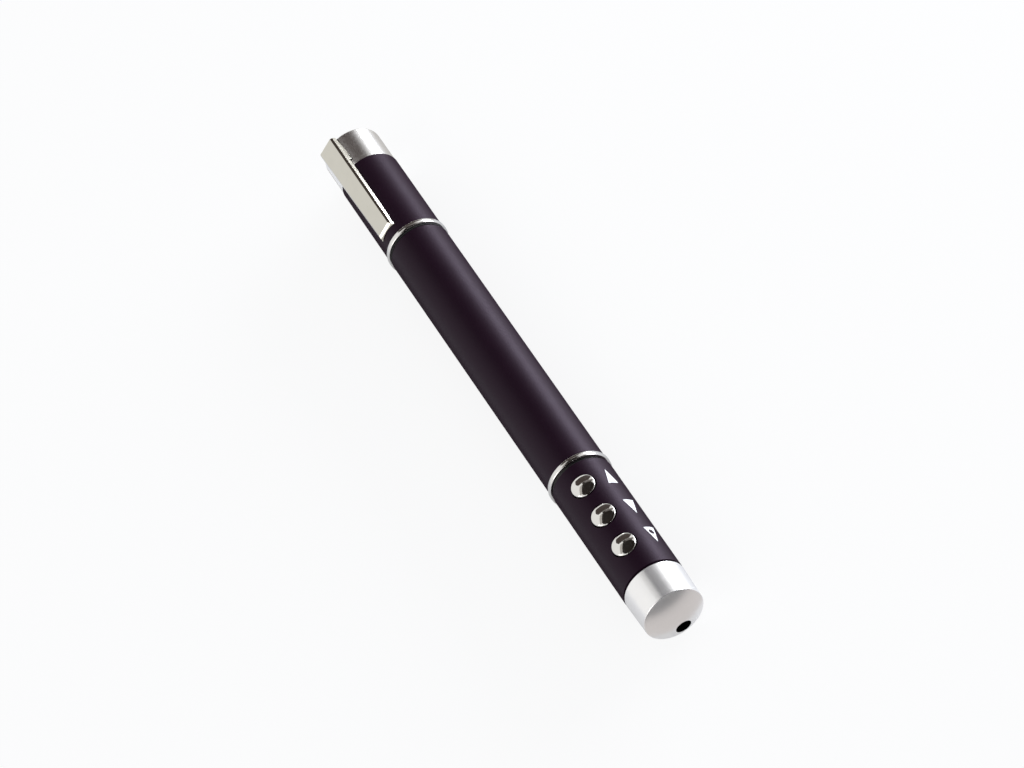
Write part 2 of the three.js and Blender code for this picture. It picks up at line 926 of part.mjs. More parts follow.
function laserDiode() {
  let diode = turned([
    [diodeStart, 0],
    [diodeStart, moduleSeat],
    [diodeEnd, moduleSeat],
    [diodeEnd, diodeCanDiameter / 2],
    [diodeEnd + diodeCan, diodeCanDiameter / 2],
    [diodeEnd + diodeCan, 0],
  ], smallSides);
  for (const side of [-1, 1]) {
    const pin = new THREE.CylinderGeometry(
      diodePinDiameter / 2,
      diodePinDiameter / 2,
      diodePinLength + diodeFlange / 2,
      wireSides,
    );
    pin.rotateZ(-Math.PI / 2);
    pin.translate(
      diodeStart - diodePinLength / 2 + diodeFlange / 4,
      side * diodePinSpread,
      0,
    );
    diode = diode.add(toSolid(pin));
  }
  return diode;
}

const driverEnd = diodeStart - diodePinLength;
const driverStart = driverEnd - driverLength;
const driverTop = -moduleOffset + driverThickness / 2;

const driverBoard = () =>
  block(driverStart, driverEnd, driverWidth, driverTop - driverThickness, driverTop);

// A supply wire that rises from the driver board to the underside of the control board.
function supplyWire(side) {
  const across = side * wireSpread;
  const low = driverTop + wireDiameter / 2 + closeFit;
  const high = boardBottom - closeFit;
  const curve = new THREE.CatmullRomCurve3([
    new THREE.Vector3(driverStart + driverLength * wireStartShare, across, low),
    new THREE.Vector3(driverStart + driverLength * wireBendShare, across, low),
    new THREE.Vector3(wireEnd, across, (low + high) / 2),
    new THREE.Vector3(wireEnd, across, high),
  ]);
  return wire(curve, wireDiameter, wireSteps);
}

// Assembly.
const pen = new THREE.Group();

pen.add(
  piece('tail_sleeve', tailSleeve(), softCoat),
  piece('tail_contact', tailContact(), brass),
  piece('tail_spring', tailSpring(), nickel),
  piece('tail_insert', tailInsert(), nickel),
  piece('rear_ring', ringShape(rearRingStart, insertRadius + closeFit), chrome),
  piece('tail_seal', sealRing(), rubber),
  piece('barrel', barrelShape(), softCoat),
  piece('barrel_liner', barrelLiner(), linerPlastic),
  piece('rear_cell', cell(rearCellStart), cellJacket),
  piece('front_cell', cell(frontCellStart), cellJacket),
  piece('head_coupling', coupling(), blackPlastic),
  piece('front_ring', ringShape(frontRingStart, couplingSeat + closeFit), chrome),
  piece('contact_holder', contactHolder(), greyPlastic),
  piece('positive_contact', positiveContact(), brass),
  piece('contact_pin', contactPin(), brass),
  piece('head_sleeve', headSleeve(), softCoat),
  piece('button_frame', buttonFrame(), blackPlastic),
  piece('control_board', controlBoard(), boardGreen),
  piece('board_carrier', boardCarrier(), greyPlastic),
);

const buttonNames = ['page_up', 'page_down', 'laser'];
buttonStations.forEach((station, i) => {
  const name = buttonNames[i];
  pen.add(
    piece(`${name}_button`, button(station), chrome),
    piece(`${name}_switch`, switchBody(station), steel),
    piece(`${name}_plunger`, switchPlunger(station), blackPlastic),
  );
});

pen.add(
  piece(
    'filter_capacitor',
    hangingCan(capacitorStart, capacitorDiameter, capacitorHeight),
    ceramic,
  ),
  piece(
    'boost_inductor',
    hangingCan(inductorStart, inductorDiameter, inductorHeight),
    blackPlastic,
  ),
  piece('radio_chip', underBoard(chipStart, chipLength, chipWidth, chipHeight), blackPlastic),
  piece(
    'clock_crystal',
    underBoard(crystalStart, crystalLength, crystalWidth, crystalHeight),
    steel,
  ),
  piece('chip_antenna', antenna(), ceramic),
  piece('nose_cap', noseCap(), satinMetal),
  piece('module_holder', moduleHolder(), blackPlastic),
  piece('laser_housing', laserHousing(), brass),
  piece('driver_board', driverBoard(), boardGreen),
  piece('red_wire', supplyWire(-1), redWire),
  piece('black_wire', supplyWire(1), blackWire),
);

// The pieces inside the module share its axis.
const moduleAxis = new THREE.Group();
moduleAxis.position.z = -moduleOffset;
moduleAxis.add(
  piece('laser_lens', laserLens(), lensGlass),
  piece('lens_spring', lensSpring(), steel),
  piece('laser_diode', laserDiode(), nickel),
);
pen.add(moduleAxis);

// The clip and the slotted pieces are turned together, away from the line of the buttons.
const clipSide = new THREE.Group();
clipSide.rotation.x = clipTilt;
clipSide.add(
  piece('tail_cap', tailCap(), satinMetal),
  piece('cap_plug', capPlug(), blackPlastic),
  piece('clip', clipShape(), chrome),
);
pen.add(clipSide);

// The rings' lowest facets lie on the ground plane, and the pen is centred along X.
pen.position.set(-penLength / 2, 0, ringRadius * Math.cos(Math.PI / sides));
pen.updateMatrixWorld(true);

export default pen;
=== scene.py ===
# Pen-shaped laser pointer and presentation remote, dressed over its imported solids.
# Metres, with the pen along X, its nose at +X and its buttons facing +Z.

import math

import bmesh
import bpy
from mathutils import Matrix, Vector


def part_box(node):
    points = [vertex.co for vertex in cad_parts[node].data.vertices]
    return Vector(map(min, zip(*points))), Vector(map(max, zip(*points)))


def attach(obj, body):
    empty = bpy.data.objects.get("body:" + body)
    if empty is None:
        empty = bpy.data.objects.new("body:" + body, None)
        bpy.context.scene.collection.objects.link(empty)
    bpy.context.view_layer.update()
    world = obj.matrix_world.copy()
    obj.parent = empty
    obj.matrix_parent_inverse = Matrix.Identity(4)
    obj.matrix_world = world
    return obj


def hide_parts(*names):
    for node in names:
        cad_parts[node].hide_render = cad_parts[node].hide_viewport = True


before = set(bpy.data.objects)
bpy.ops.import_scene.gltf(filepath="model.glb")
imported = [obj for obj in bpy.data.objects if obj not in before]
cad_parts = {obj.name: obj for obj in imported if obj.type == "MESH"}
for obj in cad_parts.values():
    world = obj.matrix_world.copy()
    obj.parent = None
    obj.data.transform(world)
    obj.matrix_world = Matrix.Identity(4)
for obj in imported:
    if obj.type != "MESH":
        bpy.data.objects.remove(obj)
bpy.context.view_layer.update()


# Tail cap. A cup turned from aluminium, satin finished, pressed on a plastic plug. A slot
# milled in its side takes the root of the clip.
MM = 0.001
TAIL_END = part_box("tail_cap")[0].x
AXIS_HEIGHT = sum(corner.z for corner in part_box("front_ring")) / 2
SAME_PLACE = 0.001
SMALL_ROUND = 0.1
SMOOTH_ANGLE = 34
DOUBLE = 0.0005
SLIVER = 0.0004
SATIN = (0.88, 0.868, 0.85)
TURNING_GRAIN = (9000, 60)


def station(x):
    """How far a place lies from the flat tail end, in millimetres."""
    return (x - TAIL_END) / MM


def span(node):
    """The stations at which a node starts and ends."""
    low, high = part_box(node)
    return station(low.x), station(high.x)


def point(s, across, height):
    """A place by its station, and across and above the axis, in millimetres."""
    return TAIL_END + s * MM, across * MM, AXIS_HEIGHT + height * MM


def tidied(form):
    """Merges doubled corners, drops slivers and turns all faces outwards."""
    bmesh.ops.remove_doubles(form, verts=form.verts, dist=DOUBLE * MM)
    bmesh.ops.dissolve_degenerate(form, edges=form.edges, dist=SLIVER * MM)
    bmesh.ops.recalc_face_normals(form, faces=form.faces)
    return form


def eased(form, edges, size, segments):
    """Rounds some edges of a form."""
    bmesh.ops.bevel(
        form,
        geom=edges,
        offset=size * MM,
        offset_type="OFFSET",
        segments=segments,
        profile=0.5,
        affect="EDGES",
        material=-1,
        clamp_overlap=True,
    )


def corners_eased(form, outline, measured, fine_segments):
    """Rounds the circles that the corners of an outline made, where they have a rounding.

    The measured places are given as the outline has them, and small roundings take the
    fine number of segments.
    """
    for *corner, rounding in (row for row in outline if len(row) > 2):
        circle = [
            edge for edge in form.edges
            if all(
                abs(found - wanted) < SAME_PLACE
                for vertex in edge.verts
                for found, wanted in zip(measured(vertex.co), corner)
            )
        ]
        eased(form, circle, rounding, fine_segments if rounding < SMALL_ROUND else 4)


def turned(outline, steps=160, drop=0.0):
    """Turns an outline of (station, radius, rounding) about a line along the pen.

    The line is the pen's axis, or lies a drop in millimetres below it.
    """

    def measured(place):
        return station(place.x), math.hypot(place.y, place.z) / MM

    form = bmesh.new()
    ring = [form.verts.new((TAIL_END + s * MM, 0, r * MM)) for s, r, *_ in outline]
    sides = list(zip(ring, ring[1:]))
    if outline[0][1] > 0:
        sides.append((ring[-1], ring[0]))
    edges = [form.edges.new(side) for side in sides]
    bmesh.ops.spin(
        form,
        geom=ring + edges,
        cent=(0, 0, 0),
        axis=(1, 0, 0),
        angle=2 * math.pi,
        steps=steps,
        use_merge=True,
    )
    corners_eased(tidied(form), outline, measured, 2)
    bmesh.ops.translate(form, verts=form.verts, vec=(0, 0, AXIS_HEIGHT - drop * MM))
    return tidied(form)


def lofted(sections):
    """A solid through sections of (station, across, height above the axis) in millimetres."""
    form = bmesh.new()
    lid = form.faces.new([form.verts.new(point(*corner)) for corner in sections[0]])
    for section in sections[1:]:
        before = list(lid.verts)
        grown = bmesh.ops.extrude_face_region(form, geom=[lid], use_keep_orig=True)
        fresh = [v for v in grown["geom"] if isinstance(v, bmesh.types.BMVert)]
        lid = next(f for f in grown["geom"] if isinstance(f, bmesh.types.BMFace))
        for old, corner in zip(before, section):
            twin = min(fresh, key=lambda v: (v.co - old.co).length)
            fresh.remove(twin)
            twin.co = point(*corner)
    return tidied(form)


def shaped(form, name, smooth=SMOOTH_ANGLE):
    """Makes a form an object, with its curved faces shaded smooth and its flats level."""
    data = bpy.data.meshes.new(name)
    form.to_mesh(data)
    form.free()
    piece = bpy.data.objects.new(name, data)
    bpy.context.collection.objects.link(piece)
    return polished(piece, smooth)


def polished(piece, smooth=SMOOTH_ANGLE):
    """Shades a piece smooth up to an angle between its faces."""
    piece.data.polygons.foreach_set("use_smooth", [True] * len(piece.data.polygons))
    piece.data.set_sharp_from_angle(angle=math.radians(smooth))
    if not piece.modifiers:
        level = piece.modifiers.new("level flats", "WEIGHTED_NORMAL")
        level.keep_sharp = True
        level.weight = 100
    return piece


def carved(piece, tool, operation="DIFFERENCE"):
    """Cuts, joins or keeps what a tool covers of a piece, and uses the tool up."""
    piece.modifiers.clear()
    tool.modifiers.clear()
    cut = piece.modifiers.new("cut", "BOOLEAN")
    cut.operation = operation
    cut.solver = "EXACT"
    cut.object = tool
    result = piece.evaluated_get(bpy.context.evaluated_depsgraph_get())
    data = bpy.data.meshes.new_from_object(result)
    piece.modifiers.clear()
    worn = [piece.data, tool.data]
    piece.data = data
    bpy.data.objects.remove(tool)
    for mesh in worn:
        bpy.data.meshes.remove(mesh)
    data.name = piece.name
    return polished(piece)


class Reading:
    """What a socket in a set of nodes gives. Sums written with it add Math nodes."""

    def __init__(self, nodes, socket):
        self.nodes = nodes
        self.socket = socket

    def math(self, operation, *others):
        inputs = dict(enumerate((self, *others)))
        return self.nodes.node("ShaderNodeMath", {"operation": operation}, inputs)

    def __add__(self, other):
        return self.math("ADD", other)

    def __sub__(self, other):
        return self.math("SUBTRACT", other)

    def __mul__(self, other):
        return self.math("MULTIPLY", other)

    def __truediv__(self, other):
        return self.math("DIVIDE", other)

    def __rsub__(self, other):
        return self * -1 + other

    def __rtruediv__(self, other):
        return self.math("POWER", -1) * other

    __radd__ = __add__
    __rmul__ = __mul__

    def step(self, low, high):
        """0 below the low value, 1 above the high one, and smooth between."""
        return self.nodes.node(
            "ShaderNodeMapRange",
            {"interpolation_type": "SMOOTHSTEP"},
            {"Value": self, "From Min": low, "From Max": high},
        )


class Nodes:
    """The shader nodes of a finish or of the world behind the pen."""

    def __init__(self, owner):
        owner.use_nodes = True
        self.tree = owner.node_tree

    def fill(self, socket, value):
        """Links a socket to a reading, or gives it a plain value."""
        if isinstance(value, Reading):
            self.tree.links.new(value.socket, socket)
        else:
            socket.default_value = value

    def node(self, kind, settings=None, inputs=None, output=0):
        """Any node: its kind, its settings, the values of its inputs, and the output used."""
        node = self.tree.nodes.new(kind)
        for setting, value in (settings or {}).items():
            setattr(node, setting, value)
        for socket, value in (inputs or {}).items():
            self.fill(node.inputs[socket], value)
        return Reading(self, node.outputs[output])

    def output_of(self, name):
        """What a node that is there from the start gives."""
        return Reading(self, self.tree.nodes[name].outputs[0])


class Finish(Nodes):
    """A surface finish made of shader nodes, on the place of each point in the pen."""

    def __init__(self, name, color, roughness, metallic=0.0):
        self.material = bpy.data.materials.new(name)
        super().__init__(self.material)
        self.shader = self.tree.nodes["Principled BSDF"]
        self.set("Base Color", (*color, 1.0))
        self.set("Roughness", roughness)
        self.set("Metallic", metallic)
        self.place = self.node("ShaderNodeTexCoord", output="Object")

    def set(self, socket, value):
        self.fill(self.shader.inputs[socket], value)

    def stretched(self, along, across):
        """The place of a point with its X and its Y and Z scaled, to draw a grain out."""
        scale = (along, across, across)
        inputs = {"Vector": self.place, "Scale": scale}
        return self.node("ShaderNodeMapping", inputs=inputs)

    def noise(self, scale, detail, place=None):
        """Cloudy variation from 0 to 1, with the given number of clouds per metre."""
        inputs = {"Vector": place or self.place, "Scale": scale, "Detail": detail}
        return self.node("ShaderNodeTexNoise", inputs=inputs)

    def axes(self):
        """X, Y and Z of a point in millimetres, with Y and Z measured from the pen's axis."""
        inputs = {"Vector": self.place}
        split = self.node("ShaderNodeSeparateXYZ", inputs=inputs).socket.node
        x, y, z = (Reading(self, socket) for socket in split.outputs)
        return (x - TAIL_END) / MM, y / MM, (z - AXIS_HEIGHT) / MM

    def blend(self, first, second, amount):
        """One colour turning to another by an amount from 0 to 1."""
        colors = [c if isinstance(c, Reading) else (*c, 1.0) for c in (first, second)]
        inputs = {0: amount, 6: colors[0], 7: colors[1]}
        return self.node("ShaderNodeMix", {"data_type": "RGBA"}, inputs, output=2)

    def tinted(self, color, change, amount):
        """A colour that an amount from 0 to 1 turns darker or lighter by a share."""
        darker = tuple(part * (1 - change) for part in color)
        lighter = tuple(part * (1 + change) for part in color)
        return self.blend(darker, lighter, amount)

    def relief(self, height):
        """Raises the surface by a height in millimetres."""
        inputs = {"Height": height * MM, "Strength": 1.0, "Distance": 1.0}
        self.set("Normal", self.node("ShaderNodeBump", inputs=inputs))


def satin(name):
    """Satin aluminium: fine lines left by the turning tool and a soft uneven sheen."""
    finish = Finish(name, SATIN, 0.3, 1.0)
    lines = finish.noise(1.0, 3.0, finish.stretched(*TURNING_GRAIN))
    cloud = finish.noise(260, 3.0)
    finish.set("Base Color", finish.tinted(SATIN, 0.05, lines * 0.6 + cloud * 0.4))
    finish.set("Roughness", 0.18 + lines * 0.08 + cloud * 0.06)
    finish.relief(lines * 0.0012)
    return finish.material


def dressed(piece, finish, body, slot, *nodes):
    """Gives a piece its finish and body, and lets it stand for its CAD nodes."""
    piece.data.materials.clear()
    piece.data.materials.append(finish)
    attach(piece, body)
    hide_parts(*nodes)


CLIP_TILT = Matrix.Rotation(math.radians(30), 3, "X")
CLIP_START = 0.25
CLIP_LENGTH = 29.5
ROOT_START = 0.6
ROOT_LENGTH = 6.8
ROOT_SEAT = 5.55
FOOT_FLARE = 0.5
CLIP_BEVEL = 0.42
FACE_HEIGHT = (7.8, 7.3)
FACE_WIDTH = (4.2, 3.6)
SLOT_SIDE_GAP = 0.15
SLOT_END_GAP = 0.3


def clip_size(s):
    """Height of the clip's face and half its width at a station."""
    share = (s - CLIP_START) / CLIP_LENGTH
    height, width = (root + (tip - root) * share for root, tip in (FACE_HEIGHT, FACE_WIDTH))
    return height, width / 2


def clip_block(start, end, flares, toe, bottom, sunk=0.0):
    """A solid length of the clip that flares towards its bottom, sunk in the sheet."""
    sections = []
    for s, flare, lean in ((start, flares[0], 0), (end, flares[1], toe)):
        top, half = clip_size(s)
        top -= sunk
        half -= sunk / 2
        skirt = half + CLIP_BEVEL
        sections.append([
            (s + lean, skirt + flare, bottom),
            (s, skirt, top - CLIP_BEVEL),
            (s, half, top),
            (s, -half, top),
            (s, -skirt, top - CLIP_BEVEL),
            (s + lean, -skirt - flare, bottom),
        ])
    return lofted(sections)


def clip_turned(form):
    """Turns a form from the top of the pen to the clip's place."""
    bmesh.ops.rotate(form, verts=form.verts, cent=(0, 0, AXIS_HEIGHT), matrix=CLIP_TILT)
    return form


def slot_tool():
    """The cutter of the slot, a little larger all round than the clip's root."""
    start, end = ROOT_START - SLOT_END_GAP, ROOT_START + ROOT_LENGTH + SLOT_END_GAP
    flares = (SLOT_SIDE_GAP, FOOT_FLARE + SLOT_SIDE_GAP)
    return clip_turned(clip_block(start, end, flares, 0, ROOT_SEAT - SLOT_END_GAP))


CAP_RADIUS = 6.58
CAP_WALL = 0.65
CAP_END_WALL = 1.0
cap_start, cap_end = span("tail_cap")
tail_cap = shaped(turned([
    (cap_start, 0),
    (cap_start, CAP_RADIUS, 0.4),
    (cap_end, CAP_RADIUS, 0.1),
    (cap_end, CAP_RADIUS - CAP_WALL),
    (cap_start + CAP_END_WALL, CAP_RADIUS - CAP_WALL),
    (cap_start + CAP_END_WALL, 0),
]), "tail_cap_turned")
carved(tail_cap, shaped(slot_tool(), "slot"))
satin_metal = satin("satin aluminium")
dressed(tail_cap, satin_metal, "tail_body", "satin_metal", "tail_cap")


# Clip. A channel pressed from spring steel sheet, polished and chromed, with flanges that
# lean out a little. Its solid root sits in the slot of the cap, and its foot flares out and
# rests just clear of the tail sleeve.
FINE_ROUND = 0.05
FOLD_ANGLE = math.radians(20)
SHEET = 0.5
FLANGE_DROP = 1.15
FLANGE_FLARE = 0.2
FOOT_LENGTH = 4.2
FOOT_TOE = 0.8
FOOT_REACH = 3.02
FOOT_SUNK = 0.06
ROOT_SUNK = 0.1
ROOT_TAB_WIDTH = 3.6
ROOT_TAB_BOTTOM = 4.4
BODY_RADIUS = 6.7
BODY_GAP = 0.12
CLEARANCE_ENDS = (-1, 34)
END_HOLLOW = 1.49
HOLLOW_LENGTH = 10
END_CHAMFER = (0.6, 0.34)
CLIP_END = CLIP_START + CLIP_LENGTH
ROOT_END = ROOT_START + ROOT_LENGTH


def chrome(name, color, roughness=0.05):
    """Polished chrome with the faintest ripple of the buffing wheel."""
    finish = Finish(name, color, roughness, 1.0)
    ripple = finish.noise(420, 2.0)
    haze = finish.noise(2600, 3.0)
    finish.set("Base Color", finish.tinted(color, 0.04, ripple))
    finish.set("Roughness", roughness + haze * 0.05)
    finish.relief(ripple * 0.004)
    return finish.material


def folds(form):
    """The edges of a form where its faces meet at an angle."""
    return [e for e in form.edges if e.calc_face_angle(0) > FOLD_ANGLE]


def channel_section(s):
    """The outline of the bent sheet at a station."""
    top, half = clip_size(s)
    skirt = half + CLIP_BEVEL
    drop = top - FLANGE_DROP
    right = [
        (s, skirt + FLANGE_FLARE - SHEET, drop),
        (s, skirt + FLANGE_FLARE, drop),
        (s, skirt, top - CLIP_BEVEL),
        (s, half, top),
    ]
    left = [(s, -y, u) for s, y, u in reversed(right)]
    inner = [(s, y, top - SHEET) for y in (SHEET / 2 - half, half - SHEET / 2)]
    return right + left + inner


def end_chamfered(form):
    """Slopes the nose end of the clip's face."""
    along, down = END_CHAMFER
    bmesh.ops.bisect_plane(
        form,
        geom=form.verts[:] + form.edges[:] + form.faces[:],
        plane_co=point(CLIP_END - along, 0, FACE_HEIGHT[1]),
        plane_no=(down, 0, along),
        clear_outer=True,
    )
    bmesh.ops.holes_fill(form, edges=[e for e in form.edges if e.is_boundary])
    return tidied(form)


channel_form = lofted([channel_section(CLIP_START), channel_section(CLIP_END)])
end_chamfered(channel_form)
eased(channel_form, folds(channel_form), FINE_ROUND, 2)
clip = shaped(channel_form, "clip_pressed")
foot_bottom = math.sqrt(BODY_RADIUS ** 2 - FOOT_REACH ** 2)
foot_form = clip_block(
    CLIP_END - FOOT_LENGTH, CLIP_END, (0, FOOT_FLARE), FOOT_TOE, foot_bottom, FOOT_SUNK
)
end_chamfered(foot_form)
eased(foot_form, folds(foot_form), FINE_ROUND, 2)
foot = shaped(foot_form, "foot")
hollow_form = bmesh.new()
bmesh.ops.create_cone(
    hollow_form,
    cap_ends=True,
    segments=96,
    radius1=END_HOLLOW * MM,
    radius2=END_HOLLOW * MM,
    depth=HOLLOW_LENGTH * MM,
    matrix=Matrix.Translation(point(CLIP_END + END_HOLLOW, 0, FACE_HEIGHT[1]))
    @ Matrix.Rotation(math.radians(90), 4, "X"),
)
carved(foot, shaped(hollow_form, "hollow"))
carved(clip, foot, "UNION")
low_end, high_end = CLEARANCE_ENDS
clearance_form = turned([
    (low_end, 0),
    (low_end, BODY_RADIUS + BODY_GAP),
    (high_end, BODY_RADIUS + BODY_GAP),
    (high_end, 0),
])
carved(clip, shaped(clearance_form, "clearance"))
root_form = clip_block(ROOT_START, ROOT_END, (0, FOOT_FLARE), 0, ROOT_SEAT, ROOT_SUNK)
eased(root_form, folds(root_form), FINE_ROUND, 2)
carved(clip, shaped(root_form, "root"), "UNION")
tab_corners = (
    (-ROOT_TAB_WIDTH / 2, ROOT_TAB_BOTTOM),
    (ROOT_TAB_WIDTH / 2, ROOT_TAB_BOTTOM),
    (ROOT_TAB_WIDTH / 2, ROOT_SEAT + SHEET),
    (-ROOT_TAB_WIDTH / 2, ROOT_SEAT + SHEET),
)
tab_form = lofted([[(s, y, u) for y, u in tab_corners] for s in (ROOT_START, ROOT_END)])
carved(clip, shaped(tab_form, "tab"), "UNION")
clip.data.transform(
    Matrix.Translation((0, 0, AXIS_HEIGHT))
    @ CLIP_TILT.to_4x4()
    @ Matrix.Translation((0, 0, -AXIS_HEIGHT))
)
clip_chrome = chrome("clip chrome", (0.59, 0.57, 0.505))
dressed(clip, clip_chrome, "clip_body", "chrome", "clip")


# Tail sleeve. A short aluminium tube under a thin soft-touch lacquer that hides the metal.
# The plug is glued in one end of it, and the insert is pressed in the other.
COAT = (0.007, 0.001, 0.005)


def soft_coat(name):
    """Soft-touch lacquer: very dark aubergine with a fine dry grain, most matt seen aslant."""
    finish = Finish(name, COAT, 0.5)
    finish.set("Specular IOR Level", 0.18)
    finish.set("Specular Tint", (0.86, 0.6, 0.88, 1.0))
    grain = finish.noise(9000, 2.0)
    cloud = finish.noise(160, 4.0)
    finish.set("Base Color", finish.tinted(COAT, 0.16, cloud))
    skimmed = finish.node("ShaderNodeLayerWeight", inputs={"Blend": 0.5}, output=1)
    matt = skimmed.step(0.5, 0.85) * 0.42
    finish.set("Roughness", 0.42 + cloud * 0.05 + grain * 0.06 + matt)
    finish.relief(grain * 0.006)
    return finish.material


SLEEVE_BORE = 6.26
sleeve_start, sleeve_end = span("tail_sleeve")
coat = soft_coat("soft coat")
tail_sleeve = shaped(turned([
    (sleeve_start, SLEEVE_BORE),
    (sleeve_start, BODY_RADIUS, 0.12),
    (sleeve_end, BODY_RADIUS, 0.18),
    (sleeve_end, SLEEVE_BORE),
]), "tail_sleeve_lacquered")
dressed(tail_sleeve, coat, "tail_body", "soft_coat", "tail_sleeve")


# Cap plug, tail contact and spring. The plug is moulded and glued in the tail sleeve. It
# carries a stamped brass contact, whose boss centres the spring that presses on the cells.
CONTACT_RADIUS = 5.6
CONTACT_SHEET = 0.6
BOSS_RADIUS = 2.1
COIL_STEPS = 48
WIRE_SIDES = 12


def moulded(name, color, roughness, grain=0.004, shine=0.5):
    """Moulded plastic or rubber with the fine texture of its mould."""
    finish = Finish(name, color, roughness)
    finish.set("Specular IOR Level", shine)
    texture = finish.noise(12000, 2.0)
    cloud = finish.noise(400, 3.0)
    finish.set("Base Color", finish.tinted(color, 0.2, cloud))
    finish.set("Roughness", roughness - 0.08 + cloud * 0.1 + texture * 0.06)
    finish.relief(texture * grain)
    return finish.material


def painted(node, finish):
    """Gives a CAD node that is shown as it is its finish."""
    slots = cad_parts[node].data.materials
    slots.clear()
    slots.append(finish)


black_plastic = moulded("black plastic", (0.008, 0.008, 0.0085), 0.5)
painted("cap_plug", black_plastic)


def metal(name, color, roughness=0.28):
    """Plated or bare metal as it comes from the press or the lathe."""
    finish = Finish(name, color, roughness, 1.0)
    lines = finish.noise(1.0, 3.0, finish.stretched(6000, 300))
    stain = finish.noise(500, 4.0)
    finish.set("Base Color", finish.tinted(color, 0.1, stain))
    finish.set("Roughness", roughness - 0.06 + stain * 0.14)
    finish.relief(lines * 0.002)
    return finish.material


brass = metal("stamped brass", (0.78, 0.57, 0.26))
nickel = metal("nickel plate", (0.63, 0.6, 0.54))
contact_start, boss_end = span("tail_contact")
tail_contact = shaped(turned([
    (contact_start, 0),
    (contact_start, CONTACT_RADIUS, 0.1),
    (contact_start + CONTACT_SHEET, CONTACT_RADIUS, 0.1),
    (contact_start + CONTACT_SHEET, BOSS_RADIUS, 0.15),
    (boss_end, BOSS_RADIUS, 0.25),
    (boss_end, 0),
]), "tail_contact_stamped")
dressed(tail_contact, brass, "tail_body", "brass", "tail_contact")


def coiled(section, start, pitch, turns, drop=0.0):
    """Winds a section of (along, out) in millimetres round the pen as a right-hand screw.

    The turns are the first and the last one, and turn 0 lies at the start.
    """
    first, last = turns
    form = bmesh.new()
    corners = [(TAIL_END + (start + s + pitch * first) * MM, 0, r * MM) for s, r in section]
    form.faces.new([form.verts.new(corner) for corner in corners])
    bmesh.ops.rotate(
        form,
        verts=form.verts,
        cent=(0, 0, 0),
        matrix=Matrix.Rotation(2 * math.pi * first, 3, "X"),
    )
    bmesh.ops.spin(
        form,
        geom=form.verts[:] + form.edges[:] + form.faces[:],
        cent=(0, 0, 0),
        axis=(1, 0, 0),
        dvec=(pitch / COIL_STEPS * MM, 0, 0),
        angle=2 * math.pi * (last - first),
        steps=round(COIL_STEPS * (last - first)),
    )
    bmesh.ops.holes_fill(form, edges=[e for e in form.edges if e.is_boundary])
    bmesh.ops.translate(form, verts=form.verts, vec=(0, 0, AXIS_HEIGHT - drop * MM))
    return tidied(form)


def spring(node, wire, radius, turns, drop=0.0):
    """A coil spring of round wire, as long as its CAD node."""
    start, end = span(node)
    section = [
        (wire / 2 * math.cos(turn), radius + wire / 2 * math.sin(turn))
        for turn in (2 * math.pi * i / WIRE_SIDES for i in range(WIRE_SIDES))
    ]
    pitch = (end - start - wire) / turns
    form = coiled(section, start + wire / 2, pitch, (0, turns), drop)
    return shaped(form, f"{node}_wound", smooth=60)


tail_spring = spring("tail_spring", wire=0.5, radius=3.55, turns=4)
dressed(tail_spring, nickel, "tail_body", "nickel", "tail_spring")


# Rear ring and seal. The ring is turned from brass and chromed, slightly crowned, and sits
# on the insert's shoulder with a black rubber seal beside it. A hair of play is left on the
# ring's tail side.
RING_RADIUS = 7.02
RING_PLAY = 0.03
RING_CROWN = 0.05
SEAL_RADIUS = 6.62
ring_chrome = chrome("ring chrome", (0.72, 0.705, 0.68), 0.12)


def crowned_ring(node, bore):
    """A ring whose outer face rises a little to its middle."""
    start, end = span(node)
    start += RING_PLAY
    return shaped(turned([
        (start, bore),
        (start, RING_RADIUS - RING_CROWN, 0.16),
        ((start + end) / 2, RING_RADIUS, 0.1),
        (end, RING_RADIUS - RING_CROWN, 0.16),
        (end, bore),
    ]), f"{node}_crowned")


rear_ring = crowned_ring("rear_ring", SLEEVE_BORE)
dressed(rear_ring, ring_chrome, "ring_body", "chrome", "rear_ring")
seal_rubber = moulded("seal rubber", (0.006, 0.006, 0.006), 0.75)
seal_start, seal_end = span("tail_seal")
tail_seal = shaped(turned([
    (seal_start, SLEEVE_BORE, 0.16),
    (seal_start, SEAL_RADIUS, 0.16),
    (seal_end, SEAL_RADIUS, 0.16),
    (seal_end, SLEEVE_BORE, 0.16),
]), "tail_seal_moulded")
dressed(tail_seal, seal_rubber, "ring_body", "seal_rubber", "tail_seal")


# Tail insert. A nickel-plated tube pressed in the tail sleeve. Its shoulder carries the ring
# and the seal, and its spigot has the thread that screws into the barrel.
CELL_BORE = 5.4
SPIGOT_RADIUS = 5.8
THREAD_TIP = 6.1
THREAD_PITCH = 1.25
THREAD_TURNS = 3.5
THREAD_FOOT = 0.375
THREAD_CREST = 0.11
THREAD_LEAD = 0.6
THREAD_BURIED = 0.2
INSERT_RADIUS = 6.2
SHOULDER_GAP = 0.1
insert_start, insert_end = span("tail_insert")
barrel_start, barrel_end = span("barrel")
thread_start = barrel_start + THREAD_LEAD
insert = shaped(turned([
    (insert_start, CELL_BORE),
    (insert_start, INSERT_RADIUS, 0.15),
    (barrel_start - SHOULDER_GAP, INSERT_RADIUS, 0.06),
    (barrel_start - SHOULDER_GAP, SPIGOT_RADIUS),
    (insert_end, SPIGOT_RADIUS, 0.15),
    (insert_end, CELL_BORE),
], 96), "tail_insert_turned")
thread = coiled([
    (-THREAD_FOOT, SPIGOT_RADIUS - THREAD_BURIED),
    (THREAD_FOOT, SPIGOT_RADIUS - THREAD_BURIED),
    (THREAD_CREST, THREAD_TIP),
    (-THREAD_CREST, THREAD_TIP),
], thread_start, THREAD_PITCH, (0, THREAD_TURNS))
carved(insert, shaped(thread, "thread"), "UNION")
